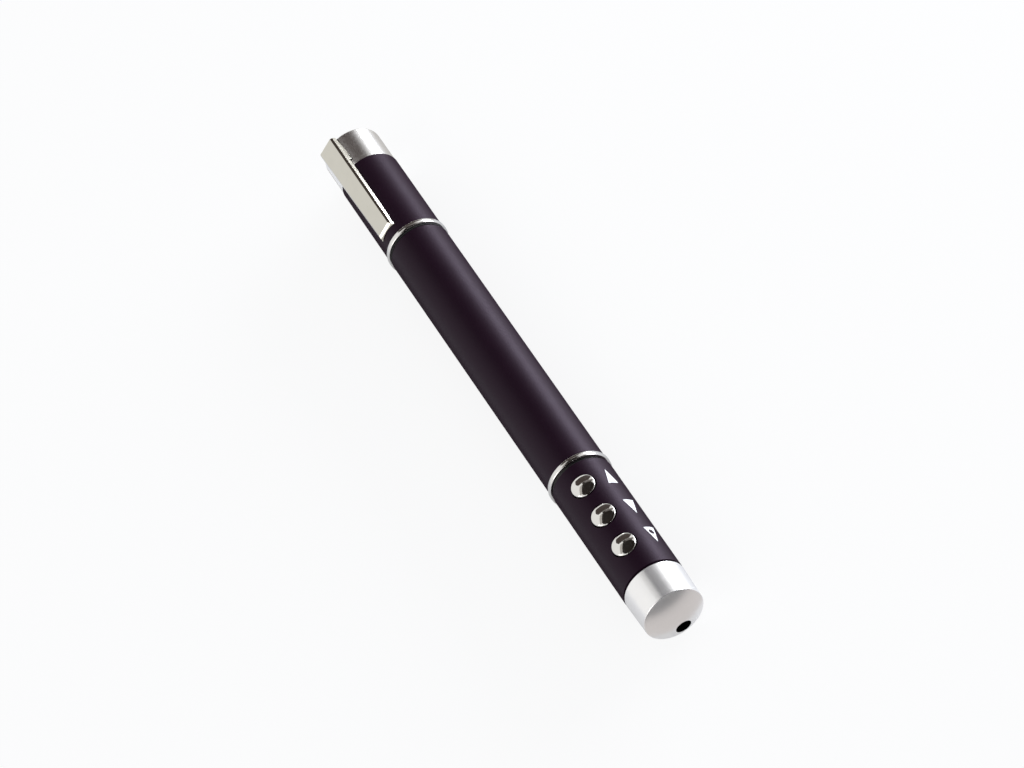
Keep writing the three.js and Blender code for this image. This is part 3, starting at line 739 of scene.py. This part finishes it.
dressed(insert, nickel, "tail_body", "nickel_shell", "tail_insert")


# Barrel. The long tube that holds the two cells: aluminium with the same soft lacquer, with
# rounded shoulders and a female thread inside its tail end.
BARREL_BORE = 5.88
SHOULDER_ROUND = 0.42
THREAD_CLEARANCE = 0.08
GROOVE_FOOT = THREAD_FOOT + 2 * THREAD_CLEARANCE
GROOVE_CREST = THREAD_CREST + THREAD_CLEARANCE
GROOVE_TIP = THREAD_TIP + THREAD_CLEARANCE
BORE_OVERLAP = 0.3
GROOVE_MOUTH = BARREL_BORE - BORE_OVERLAP
RUN_IN = 0.99
RUN_OUT = 0.5
barrel = shaped(turned([
    (barrel_start, BARREL_BORE, 0.1),
    (barrel_start, BODY_RADIUS, SHOULDER_ROUND),
    (barrel_end, BODY_RADIUS, SHOULDER_ROUND),
    (barrel_end, BARREL_BORE),
]), "barrel_lacquered")
groove = coiled([
    (-GROOVE_FOOT, GROOVE_MOUTH),
    (GROOVE_FOOT, GROOVE_MOUTH),
    (GROOVE_CREST, GROOVE_TIP),
    (-GROOVE_CREST, GROOVE_TIP),
], thread_start, THREAD_PITCH, (-RUN_IN, THREAD_TURNS + RUN_OUT))
carved(barrel, shaped(groove, "groove"))
dressed(barrel, coat, "barrel_body", "soft_coat", "barrel")


# Liner and cells. A thin plastic tube keeps two AAA cells from rattling in the barrel. Each
# cell is a steel can, crimped at its positive end, in a shrunk jacket without print.
JACKET = (0.035, 0.11, 0.3)
BAND = (0.62, 0.64, 0.66)
CAN = (0.6, 0.58, 0.55)
CELL_RADIUS = 5.25
CELL_FOOT_RADIUS = 4.5
CRIMP_RADIUS = 4.4
NUB_RADIUS = 1.9
NUB_HEIGHT = 1.0
JACKET_START = 0.3
JACKET_END = 1.6
BAND_PLACE = (9.1, 5.1)
BAND_EDGE = 0.1
painted("barrel_liner", moulded("liner plastic", (0.05, 0.11, 0.19), 0.55))


def cell_finish(name, start, end):
    """Shrunk jacket with one pale band, open at both ends on the bright can."""
    finish = Finish(name, JACKET, 0.3)
    x = finish.axes()[0]
    first, last = (x.step(end - s, end - s + BAND_EDGE) for s in BAND_PLACE)
    foot = x.step(start + JACKET_START, start + JACKET_START + 0.06)
    neck = x.step(end - JACKET_END, end - JACKET_END + 0.05)
    bare = 1 - foot + neck
    wear = finish.noise(700, 4.0)
    jacket = finish.blend(finish.tinted(JACKET, 0.12, wear), BAND, first - last)
    finish.set("Base Color", finish.blend(jacket, CAN, bare))
    finish.set("Metallic", bare)
    finish.set("Roughness", 0.26 + wear * 0.14)
    finish.relief(wear * 0.004)
    return finish.material


for node in ("rear_cell", "front_cell"):
    start, end = span(node)
    cell = shaped(turned([
        (start, 0),
        (start, CELL_FOOT_RADIUS, 0.15),
        (start + 0.35, CELL_RADIUS - 0.25),
        (start + 0.5, CELL_RADIUS, 0.12),
        (end - NUB_HEIGHT - 0.5, CELL_RADIUS, 0.2),
        (end - NUB_HEIGHT - 0.15, CELL_RADIUS - 0.3),
        (end - NUB_HEIGHT, CRIMP_RADIUS, 0.1),
        (end - NUB_HEIGHT, NUB_RADIUS),
        (end, NUB_RADIUS, 0.25),
        (end, 0),
    ], 96), f"{node}_crimped")
    finish = cell_finish(f"{node} jacket", start, end)
    dressed(cell, finish, "barrel_body", "cell_jacket", node)


# Front ring and coupling. The ring is the twin of the rear one. The black coupling joins
# barrel and head, and shows as the groove beside the ring. It holds the positive contact.
COUPLING_SEAT = 5.95
COUPLING_FLANGE = 6.3
COUPLING_WALL = 1.2
HEAD_BORE = 5.9
FIT = 0.06
PLATE_RADIUS = 3.2
PIN_RADIUS = 0.55
PIN_HEIGHT = 1.6
front_ring = crowned_ring("front_ring", COUPLING_SEAT + FIT)
dressed(front_ring, ring_chrome, "barrel_body", "chrome", "front_ring")
ring_start, ring_end = span("front_ring")
head_start, head_end = span("head_sleeve")
coupling_start, coupling_end = span("head_coupling")
holder_end = span("contact_holder")[1]
coupling = shaped(turned([
    (coupling_start, CELL_BORE),
    (coupling_start, BARREL_BORE - FIT, 0.2),
    (ring_start, BARREL_BORE - FIT),
    (ring_start, COUPLING_SEAT),
    (ring_end, COUPLING_SEAT),
    (ring_end, COUPLING_FLANGE, 0.08),
    (head_start, COUPLING_FLANGE, 0.08),
    (head_start, HEAD_BORE - FIT),
    (coupling_end, HEAD_BORE - FIT, 0.2),
    (coupling_end, HEAD_BORE - FIT - COUPLING_WALL),
    (holder_end, HEAD_BORE - FIT - COUPLING_WALL),
    (holder_end, CELL_BORE),
]), "head_coupling_moulded")
dressed(coupling, black_plastic, "barrel_body", "black_plastic", "head_coupling")
grey_plastic = moulded("grey plastic", (0.09, 0.095, 0.1), 0.55)
painted("contact_holder", grey_plastic)
plate_start, plate_end = span("positive_contact")
plate = shaped(turned([
    (plate_start, 0),
    (plate_start, PLATE_RADIUS, 0.12),
    (plate_end, PLATE_RADIUS, 0.05),
    (plate_end, 0),
], 64), "positive_contact_stamped")
dressed(plate, brass, "barrel_body", "brass", "positive_contact")
pin_start, pin_end = span("contact_pin")
pin = shaped(turned([
    (pin_start, 0),
    (pin_start, PIN_RADIUS, 0.1),
    (pin_end, PIN_RADIUS, 0.15),
    (pin_end, 0),
], 32, -PIN_HEIGHT), "contact_pin_turned")
dressed(pin, brass, "barrel_body", "brass", "contact_pin")


# Head sleeve. A lacquered plastic tube with three round holes for the buttons, glued on the
# coupling. A thin dark joint is left before the nose cap.
HOLE_RADIUS = 2.8
HOLE_REACH = (1, 8)
HEAD_GAP = 0.15
FINE_STEPS = 224
UPRIGHT_STEPS = 96
head_sleeve = shaped(turned([
    (head_start, HEAD_BORE),
    (head_start, BODY_RADIUS, SHOULDER_ROUND),
    (head_end - HEAD_GAP, BODY_RADIUS, 0.12),
    (head_end - HEAD_GAP, HEAD_BORE),
], FINE_STEPS), "head_sleeve_lacquered")
BUTTONS = ("page_up", "page_down", "laser")


def upright(centre, outline):
    """Turns an outline of (radius, height, rounding) about an upright line."""

    def measured(place):
        out = math.hypot(place.x - centre, place.y)
        return out / MM, (place.z - AXIS_HEIGHT) / MM

    form = bmesh.new()
    places = [(centre + r * MM, 0, AXIS_HEIGHT + u * MM) for r, u, *_ in outline]
    ring = [form.verts.new(place) for place in places]
    edges = [form.edges.new(side) for side in zip(ring, ring[1:])]
    bmesh.ops.spin(
        form,
        geom=ring + edges,
        cent=(centre, 0, 0),
        axis=(0, 0, 1),
        angle=2 * math.pi,
        steps=UPRIGHT_STEPS,
        use_merge=True,
    )
    corners_eased(tidied(form), outline, measured, 4)
    return tidied(form)


def middle(node):
    """Halfway along a node, in metres."""
    low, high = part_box(node)
    return (low.x + high.x) / 2


for name in BUTTONS:
    bottom, top = HOLE_REACH
    hole = [(0, bottom), (HOLE_RADIUS, bottom), (HOLE_RADIUS, top), (0, top)]
    carved(head_sleeve, shaped(upright(middle(f"{name}_button"), hole), "hole"))
plastic_coat = soft_coat("soft coat on plastic")
dressed(head_sleeve, plastic_coat, "barrel_body", "soft_coat_plastic", "head_sleeve")


# Marks. Three pad-printed symbols in white ink beside the buttons: an arrowhead each way,
# and an arrowhead with a round hole in it. Corners and the hole's centre are stations with
# the degrees from the top of the pen, and the hole's radius follows.
INK = 0.03
INK_SUNK = 0.01
ROLL_STEP = 0.25
ROLL_STEPS = 48
HOLE_SIDES = 40
MARKS = {
    "page_up_mark": (((114.85, 52.3), (118.95, 62.0), (119.0, 41.9)), None),
    "page_down_mark": (((124.25, 45.7), (124.1, 68.5), (128.3, 56.3)), None),
    "laser_mark": (((132.7, 48.3), (132.3, 73.0), (136.95, 58.6)), (133.95, 59.6, 0.68)),
}


def flat_place(s, degrees):
    """A place on the head unrolled flat, in millimetres."""
    return s, math.radians(degrees) * BODY_RADIUS, 0


def rolled(form):
    """Gives flat ink its thickness and rolls it round the head."""
    for step in range(1, ROLL_STEPS):
        spot = (0, step * ROLL_STEP, 0)
        geometry = form.verts[:] + form.edges[:] + form.faces[:]
        bmesh.ops.bisect_plane(form, geom=geometry, plane_co=spot, plane_no=(0, 1, 0))
    bmesh.ops.recalc_face_normals(form, faces=form.faces)
    grown = bmesh.ops.extrude_face_region(form, geom=form.faces[:], use_keep_orig=True)
    top = [v for v in grown["geom"] if isinstance(v, bmesh.types.BMVert)]
    bmesh.ops.translate(form, verts=top, vec=(0, 0, INK))
    for vertex in form.verts:
        s, arc, height = vertex.co
        turn = arc / BODY_RADIUS
        out = BODY_RADIUS - INK_SUNK + height
        vertex.co = point(s, out * math.sin(turn), out * math.cos(turn))
    return tidied(form)


def arrowhead(corners, hole):
    """A flat arrowhead, solid where the hole is None."""
    form = bmesh.new()
    loops = [[flat_place(*corner) for corner in corners]]
    if hole:
        s, degrees, radius = hole
        centre = Vector(flat_place(s, degrees))
        turns = [2 * math.pi * i / HOLE_SIDES for i in range(HOLE_SIDES)]
        loops.append([
            centre + radius * Vector((math.cos(turn), math.sin(turn), 0)) for turn in turns
        ])
    for loop in loops:
        ring = [form.verts.new(spot) for spot in loop]
        for side in zip(ring, ring[1:] + ring[:1]):
            form.edges.new(side)
    bmesh.ops.triangle_fill(form, use_beauty=True, edges=form.edges[:], normal=(0, 0, 1))
    return form


white_ink = moulded("white ink", (0.82, 0.82, 0.82), 0.5, 0.002)
for name, (corners, hole) in MARKS.items():
    mark = shaped(rolled(arrowhead(corners, hole)), name)
    mark.data.materials.append(white_ink)
    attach(mark, "barrel_body")


# Buttons. Each is a moulded plastic dome with a bright chrome plate, on a flange that keeps
# it under the head's wall and a stem that works the switch below.
BUTTON_RADIUS = 2.6
BUTTON_EDGE = 6.8
BUTTON_RIM = 0.12
DOME_RISE = 0.6
STEM_RADIUS = 1.3
STEM_LENGTH = 0.35
FLANGE_REACH = 0.45
FLANGE_SHEET = 0.4
button_chrome = chrome("button chrome", (0.72, 0.705, 0.67))


def dome(radius, edge, rise, points=14):
    """Half the outline of a shallow dome, from its edge to its top."""
    ball = (radius ** 2 + rise ** 2) / (2 * rise)
    reach = math.asin(radius / ball)
    turns = [reach * (1 - i / points) for i in range(points + 1)]
    return [
        (ball * math.sin(turn), edge + rise - ball * (1 - math.cos(turn))) for turn in turns
    ]


for name in BUTTONS:
    stem_bottom = (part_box(f"{name}_button")[0].z - AXIS_HEIGHT) / MM
    flange_bottom = stem_bottom + STEM_LENGTH
    flange_top = flange_bottom + FLANGE_SHEET
    outline = [
        (0, stem_bottom),
        (STEM_RADIUS, stem_bottom, 0.1),
        (STEM_RADIUS, flange_bottom),
        (BUTTON_RADIUS + FLANGE_REACH, flange_bottom, 0.05),
        (BUTTON_RADIUS + FLANGE_REACH, flange_top, 0.05),
        (BUTTON_RADIUS, flange_top),
        (BUTTON_RADIUS, BUTTON_EDGE - 0.1, 0.14),
        *dome(BUTTON_RADIUS - BUTTON_RIM, BUTTON_EDGE, DOME_RISE),
    ]
    button = shaped(upright(middle(f"{name}_button"), outline), f"{name}_button_plated")
    dressed(button, button_chrome, f"{name}_key", "button_chrome", f"{name}_button")


# Nose cap. A cup turned from aluminium like the tail cap, with a shallow domed face that is
# brushed straight across. The laser shines out of a round hole near the face's edge, whose
# bore is coloured black as painted shade in the hole.
NOSE_RADIUS = 6.7
NOSE_TIP_RADIUS = 6.5
NOSE_WALL = 0.75
FACE_WALL = 1.1
FACE_RISE = 1.15
EMITTER_RADIUS = 1.7
EMITTER_DROP = 4.25
NOSE_GAP = 0.3
NOSE_ROUND = 0.12
BORE_LENGTH = 3
BORE_PAST_FACE = 1
BRUSH_TURN = math.radians(-26.8)
BORE_PAINTED_SHADE = (0.01, 0.01, 0.01)
nose_start, nose_end = span("nose_cap")
nose_rim = nose_end - FACE_RISE
nose_bore = NOSE_TIP_RADIUS - NOSE_WALL


def brushed_face(name):
    """Satin aluminium turned on its side, brushed across its face, and black in its bore as
    painted shade.
    """
    finish = Finish(name, SATIN, 0.3, 0.8)
    x, y, z = finish.axes()
    turning = finish.noise(1.0, 3.0, finish.stretched(*TURNING_GRAIN))
    across = y * math.cos(BRUSH_TURN) + z * math.sin(BRUSH_TURN)
    along = z * math.cos(BRUSH_TURN) - y * math.sin(BRUSH_TURN)
    inputs = {0: across * 9.0, 1: along * 0.35, 2: 0.0}
    streak_place = finish.node("ShaderNodeCombineXYZ", inputs=inputs)
    streaks = finish.noise(1.0, 3.0, streak_place)
    on_face = x.step(nose_rim - 0.05, nose_rim + 0.05)
    lines = turning + (streaks - turning) * on_face
    cloud = finish.noise(260, 3.0)
    # The colour turns black inside the emitter's bore: painted shade in the hole.
    drop = z + EMITTER_DROP
    apart = (y * y + drop * drop).math("SQRT")
    bare = apart.step(EMITTER_RADIUS + 0.02, EMITTER_RADIUS + 0.06)
    metal_tint = finish.tinted(SATIN, 0.05, lines * 0.6 + cloud * 0.4)
    finish.set("Base Color", finish.blend(BORE_PAINTED_SHADE, metal_tint, bare))
    finish.set("Roughness", 0.18 + lines * 0.08 + cloud * 0.06 + on_face * 0.06)
    finish.relief(lines * (0.0012 + on_face * 0.0015))
    return finish.material


face_rim, *face = [(s, r) for r, s in dome(NOSE_TIP_RADIUS, nose_rim, FACE_RISE, 20)]
nose_cap = shaped(turned([
    (nose_start + NOSE_GAP, nose_bore),
    (nose_start + NOSE_GAP, NOSE_RADIUS, NOSE_ROUND),
    (*face_rim, NOSE_ROUND),
    *face,
    (nose_rim - FACE_WALL, 0),
    (nose_rim - FACE_WALL, nose_bore),
], FINE_STEPS), "nose_cap_turned")
bore_form = turned([
    (nose_rim - BORE_LENGTH, 0),
    (nose_rim - BORE_LENGTH, EMITTER_RADIUS),
    (nose_end + BORE_PAST_FACE, EMITTER_RADIUS),
    (nose_end + BORE_PAST_FACE, 0),
], 64, EMITTER_DROP)
carved(nose_cap, shaped(bore_form, "bore"))
nose_metal = brushed_face("satin aluminium with brushed face")
dressed(nose_cap, nose_metal, "barrel_body", "satin_metal", "nose_cap")


# Board and switches. Three dome switches in pressed shells stand on a laminate board, under
# a black frame that guides the buttons. A grey carrier holds the board from below, with a
# capacitor, an inductor, the radio chip, its crystal and its antenna under the board.
LAMINATE = (0.012, 0.075, 0.032)
COPPER_UNDER_MASK = (0.03, 0.13, 0.05)
SWITCH_SHELL = (0.6, 0.58, 0.54)
SWITCH_BASE = (0.01, 0.01, 0.01)
BASE_HEIGHT = 2.45


def laminate(name):
    """Green solder mask over copper tracks, which show as paler, slightly raised runs."""
    finish = Finish(name, LAMINATE, 0.35)
    inputs = {"Vector": finish.place, "Scale": 900, "Randomness": 0.35}
    settings = {"feature": "DISTANCE_TO_EDGE"}
    edge = finish.node("ShaderNodeTexVoronoi", settings, inputs)
    track = 1 - edge.step(0.08, 0.13)
    weave = finish.noise(4000, 2.0)
    finish.set("Base Color", finish.blend(LAMINATE, COPPER_UNDER_MASK, track))
    finish.set("Roughness", 0.3 + weave * 0.15)
    finish.relief(track * 0.03 + weave * 0.004)
    return finish.material


def switch_shell(name):
    """A nickel shell folded over a black plastic base."""
    finish = Finish(name, SWITCH_SHELL, 0.3, 1.0)
    z = finish.axes()[2]
    shell = z.step(BASE_HEIGHT - 0.02, BASE_HEIGHT + 0.02)
    stain = finish.noise(900, 3.0)
    finish.set("Base Color", finish.blend(SWITCH_BASE, SWITCH_SHELL, shell))
    finish.set("Metallic", shell)
    finish.set("Roughness", 0.5 - shell * 0.25 + stain * 0.12)
    finish.relief(shell * 0.05 + stain * 0.004)
    return finish.material


painted("button_frame", black_plastic)
painted("board_carrier", grey_plastic)
board_finish = laminate("board laminate")
painted("control_board", board_finish)
shell_finish = switch_shell("switch shell")
for name in BUTTONS:
    painted(f"{name}_switch", shell_finish)
    painted(f"{name}_plunger", black_plastic)
painted("filter_capacitor", moulded("capacitor ceramic", (0.42, 0.31, 0.2), 0.5))
painted("boost_inductor", moulded("ferrite", (0.03, 0.03, 0.032), 0.45))
painted("radio_chip", moulded("chip resin", (0.014, 0.014, 0.015), 0.4))
painted("clock_crystal", metal("crystal can", (0.66, 0.64, 0.6), 0.22))
painted("chip_antenna", moulded("antenna ceramic", (0.72, 0.7, 0.64), 0.4))


# Laser module. A turned brass housing, coloured near black as painted shade deep in the
# emitter hole, glued in a black holder that also carries the nose cap. A spring presses the
# lens against its front lip, and the diode is pressed in its back with a small driver board on
# its pins.
MODULE_DROP = 3.95
MODULE_RADIUS = 1.65
MODULE_BORE = 1.35
APERTURE_RADIUS = 0.9
LIP = 0.5
LENS_RADIUS = 1.29
LENS_RISE = 0.3
painted("module_holder", black_plastic)
# Near-black brass: painted shade for what shows deep in the emitter hole.
shade_black_brass = moulded("brass in painted shade", (0.004, 0.003, 0.003), 0.6, shine=0.1)
module_start, module_end = span("laser_housing")
housing = shaped(turned([
    (module_start, MODULE_BORE),
    (module_start, MODULE_RADIUS, 0.1),
    (module_end, MODULE_RADIUS, 0.15),
    (module_end, APERTURE_RADIUS, 0.2),
    (module_end - LIP, APERTURE_RADIUS),
    (module_end - LIP, MODULE_BORE),
], 64, MODULE_DROP), "laser_housing_turned")
dressed(housing, shade_black_brass, "barrel_body", "brass", "laser_housing")


def lens_glass(name):
    """Clear coated glass: a faint blue-green cast and hardly any texture."""
    finish = Finish(name, (0.9, 0.97, 0.98), 0.03)
    finish.set("Transmission Weight", 1.0)
    finish.set("IOR", 1.52)
    dust = finish.noise(3000, 3.0)
    finish.set("Roughness", 0.01 + dust * 0.03)
    return finish.material


lens_start, lens_end = span("laser_lens")
lens_face = dome(LENS_RADIUS, 0, LENS_RISE)
lens = shaped(turned([
    *((lens_start + LENS_RISE - s, r) for r, s in reversed(lens_face)),
    (lens_end, LENS_RADIUS, 0.05),
    (lens_end, 0),
], 64, MODULE_DROP), "laser_lens_ground")
dressed(lens, lens_glass("lens glass"), "barrel_body", "lens_glass", "laser_lens")
lens_spring = spring("lens_spring", wire=0.2, radius=1.19, turns=5, drop=MODULE_DROP)
dressed(lens_spring, nickel, "barrel_body", "nickel", "lens_spring")
painted("laser_diode", metal("gilt can", (0.86, 0.64, 0.3), 0.2))
painted("driver_board", board_finish)
painted("red_wire", moulded("red insulation", (0.36, 0.012, 0.01), 0.4))
painted("black_wire", moulded("black insulation", (0.01, 0.01, 0.01), 0.4))


# Stage. A plain white floor and world, two soft lamps and the camera of the photograph.
# Glowing cards that only polished surfaces see are painted reflections of the dark and the
# pale parts of the studio, and of the shade on the floor near the pen.
FLOOR_SIZE = 6.0
FLOOR_GLOW = 0.87
MIRRORED_GLOW = 0.15
WHITE = (1.0, 1.0, 1.0, 1.0)
WHITE_RAYS = ("Is Camera Ray", "Is Glossy Ray", "Is Transmission Ray")
floor_form = bmesh.new()
bmesh.ops.create_grid(floor_form, x_segments=1, y_segments=1, size=FLOOR_SIZE / 2)
floor_level = AXIS_HEIGHT - RING_RADIUS * MM
bmesh.ops.translate(floor_form, verts=floor_form.verts, vec=(0, 0, floor_level))
floor = shaped(floor_form, "floor")
floor.modifiers.clear()


def white_rays(nodes):
    """Whether a ray comes from the camera, from a mirror or through glass."""
    outputs = nodes.node("ShaderNodeLightPath").socket.node.outputs
    return [Reading(nodes, outputs[kind]) for kind in WHITE_RAYS]


def floor_white(name):
    """White paper: pure white to the eye where it is lit, and grey under the pen."""
    finish = Finish(name, (0.76, 0.76, 0.76), 0.9)
    finish.set("Specular IOR Level", 0.1)
    seen, mirrored, passed = white_rays(finish)
    share = seen.math("MAXIMUM", passed) * FLOOR_GLOW + mirrored * MIRRORED_GLOW
    glow = finish.node("ShaderNodeEmission", inputs={"Color": WHITE, "Strength": 1.0})
    lit = finish.output_of("Principled BSDF")
    mixed = finish.node("ShaderNodeMixShader", inputs={0: share, 1: lit, 2: glow})
    finish.fill(finish.tree.nodes["Material Output"].inputs["Surface"], mixed)
    return finish.material


floor.data.materials.append(floor_white("floor white"))

world = bpy.data.worlds.new("studio")
bpy.context.scene.world = world
sky = Nodes(world)
dim_sky = sky.tree.nodes["Background"]
sky.fill(dim_sky.inputs["Color"], (0.9, 0.93, 1.0, 1.0))
sky.fill(dim_sky.inputs["Strength"], 0.75)
white_sky = sky.node("ShaderNodeBackground", inputs={"Color": WHITE, "Strength": 1.0})
seen, mirrored, passed = white_rays(sky)
share = seen.math("MAXIMUM", mirrored).math("MAXIMUM", passed)
skies = {0: share, 1: sky.output_of("Background"), 2: white_sky}
mixed_sky = sky.node("ShaderNodeMixShader", inputs=skies)
sky.fill(sky.tree.nodes["World Output"].inputs["Surface"], mixed_sky)


def lamp(name, spot, aim, size, power, color):
    """A soft lamp that faces a place on the pen's table."""
    light = bpy.data.lights.new(name, "AREA")
    light.shape = "RECTANGLE"
    light.size, light.size_y = size
    light.energy = power
    light.color = color
    holder = bpy.data.objects.new(name, light)
    bpy.context.collection.objects.link(holder)
    holder.location = spot
    towards = Vector(aim) - Vector(spot)
    holder.rotation_euler = towards.to_track_quat("-Z", "Y").to_euler()


lamp(
    "side lamp",
    spot=(-0.26, 0.62, 0.13),
    aim=(-0.26, 0, 0.03),
    size=(0.72, 0.25),
    power=7.9,
    color=(0.88, 0.92, 1.0),
)
lamp(
    "front lamp",
    spot=(0.25, -0.75, 0.6),
    aim=(0, 0, 0),
    size=(0.5, 0.5),
    power=2.5,
    color=(1.0, 0.97, 0.95),
)


def flag(name, shade, corners):
    """A card that glows with its shade and only shows in what is polished: a painted
    reflection, as studios shape metal with flags.
    """
    form = bmesh.new()
    form.faces.new([form.verts.new(corner) for corner in corners])
    card = shaped(form, name)
    card.modifiers.clear()
    finish = Finish(name, (0, 0, 0), 0.9)
    finish.set("Emission Color", (*shade, 1.0))
    finish.set("Emission Strength", 1.0)
    card.data.materials.append(finish.material)
    card.visible_camera = False
    card.visible_diffuse = False
    card.visible_shadow = False
    card.visible_transmission = False


def standing(x, *corners):
    """The corners of a card that stands across the pen's line."""
    return [(x, y, z) for y, z in corners]


def lying(z, *corners):
    """The corners of a card that lies level."""
    return [(x, y, z) for x, y in corners]


BACK_X = -0.6
FRONT_X = 1.3
TOP_Z = 1.0
FLOOR_CARD_Z = 0.0008
DARK = (0.014, 0.01, 0.008)
flag("back flag", (0.06, 0.045, 0.04), standing(
    BACK_X,
    (-0.12, 0.16), (0.46, 0.1), (0.43, 0.67), (-0.12, 0.75), (-0.24, 0.7), (-0.24, 0.42),
))
flag("high flag", (0.05, 0.042, 0.038), standing(
    BACK_X, (0.02, 0.74), (0.2, 0.72), (0.2, 1.05), (0.02, 1.05)
))
flag("high side flag", (0.18, 0.165, 0.16), standing(
    BACK_X, (0.2, 0.72), (0.8, 0.63), (0.8, 1.05), (0.2, 1.05)
))
flag("top flag", DARK, lying(
    TOP_Z,
    (-0.62, 0.0), (0.05, -0.42), (FRONT_X, -0.3), (FRONT_X, 0.9), (0.2, 1.0), (-0.62, 0.7),
))
flag("pale flag", (0.5, 0.48, 0.46), lying(
    TOP_Z, (-0.62, -0.26), (0.02, -0.66), (0.05, -0.42), (-0.62, 0.0)
))
flag("right flag", DARK, [
    (-0.36, 0.85, 0.2), (FRONT_X, 0.9, 0.2), (FRONT_X, 0.9, TOP_Z), (-0.3, 0.82, TOP_Z)
])
flag("front flag", DARK, standing(
    FRONT_X, (-0.3, 0.1), (0.9, 0.1), (0.9, TOP_Z), (-0.3, TOP_Z)
))
# Floor cards: painted reflections of the shade on the floor in front of the nose and beside
# the tail.
flag("floor flag", (0.05, 0.045, 0.045), lying(
    FLOOR_CARD_Z, (0.093, -0.2), (0.3, -0.2), (0.3, 0.2), (0.093, 0.2)
))
flag("tail floor flag", (0.5, 0.485, 0.47), lying(
    FLOOR_CARD_Z, (-0.4, -0.01), (-0.06, -0.01), (-0.06, 0.03), (-0.4, 0.08)
))
flag("pale floor flag", (0.58, 0.54, 0.525), lying(
    FLOOR_CARD_Z / 2, (0.077, -1.0), (2.4, -1.0), (2.4, 1.0), (0.077, 1.0)
))

FOCAL_PIXELS = 4899.24
CAMERA_PLACE = Vector((0.65081774, 0.03294110, 0.76740784))
CAMERA_RIGHT = Vector((0.43475297, 0.80407775, -0.40552290))
CAMERA_DOWN = Vector((0.62524229, -0.59359244, -0.50667554))
PHOTO_WIDTH = 1024
SENSOR_WIDTH = 36
camera_data = bpy.data.cameras.new("camera")
camera_data.sensor_width = SENSOR_WIDTH
camera_data.lens = FOCAL_PIXELS * SENSOR_WIDTH / PHOTO_WIDTH
camera_data.clip_start = 0.05
camera_data.clip_end = 20
camera = bpy.data.objects.new("camera", camera_data)
bpy.context.collection.objects.link(camera)
back = CAMERA_RIGHT.cross(-CAMERA_DOWN)
turn = Matrix((CAMERA_RIGHT, -CAMERA_DOWN, back)).transposed()
camera.matrix_world = Matrix.Translation(CAMERA_PLACE) @ turn.to_4x4()
bpy.context.scene.camera = camera
bpy.context.scene.view_settings.view_transform = "Standard"
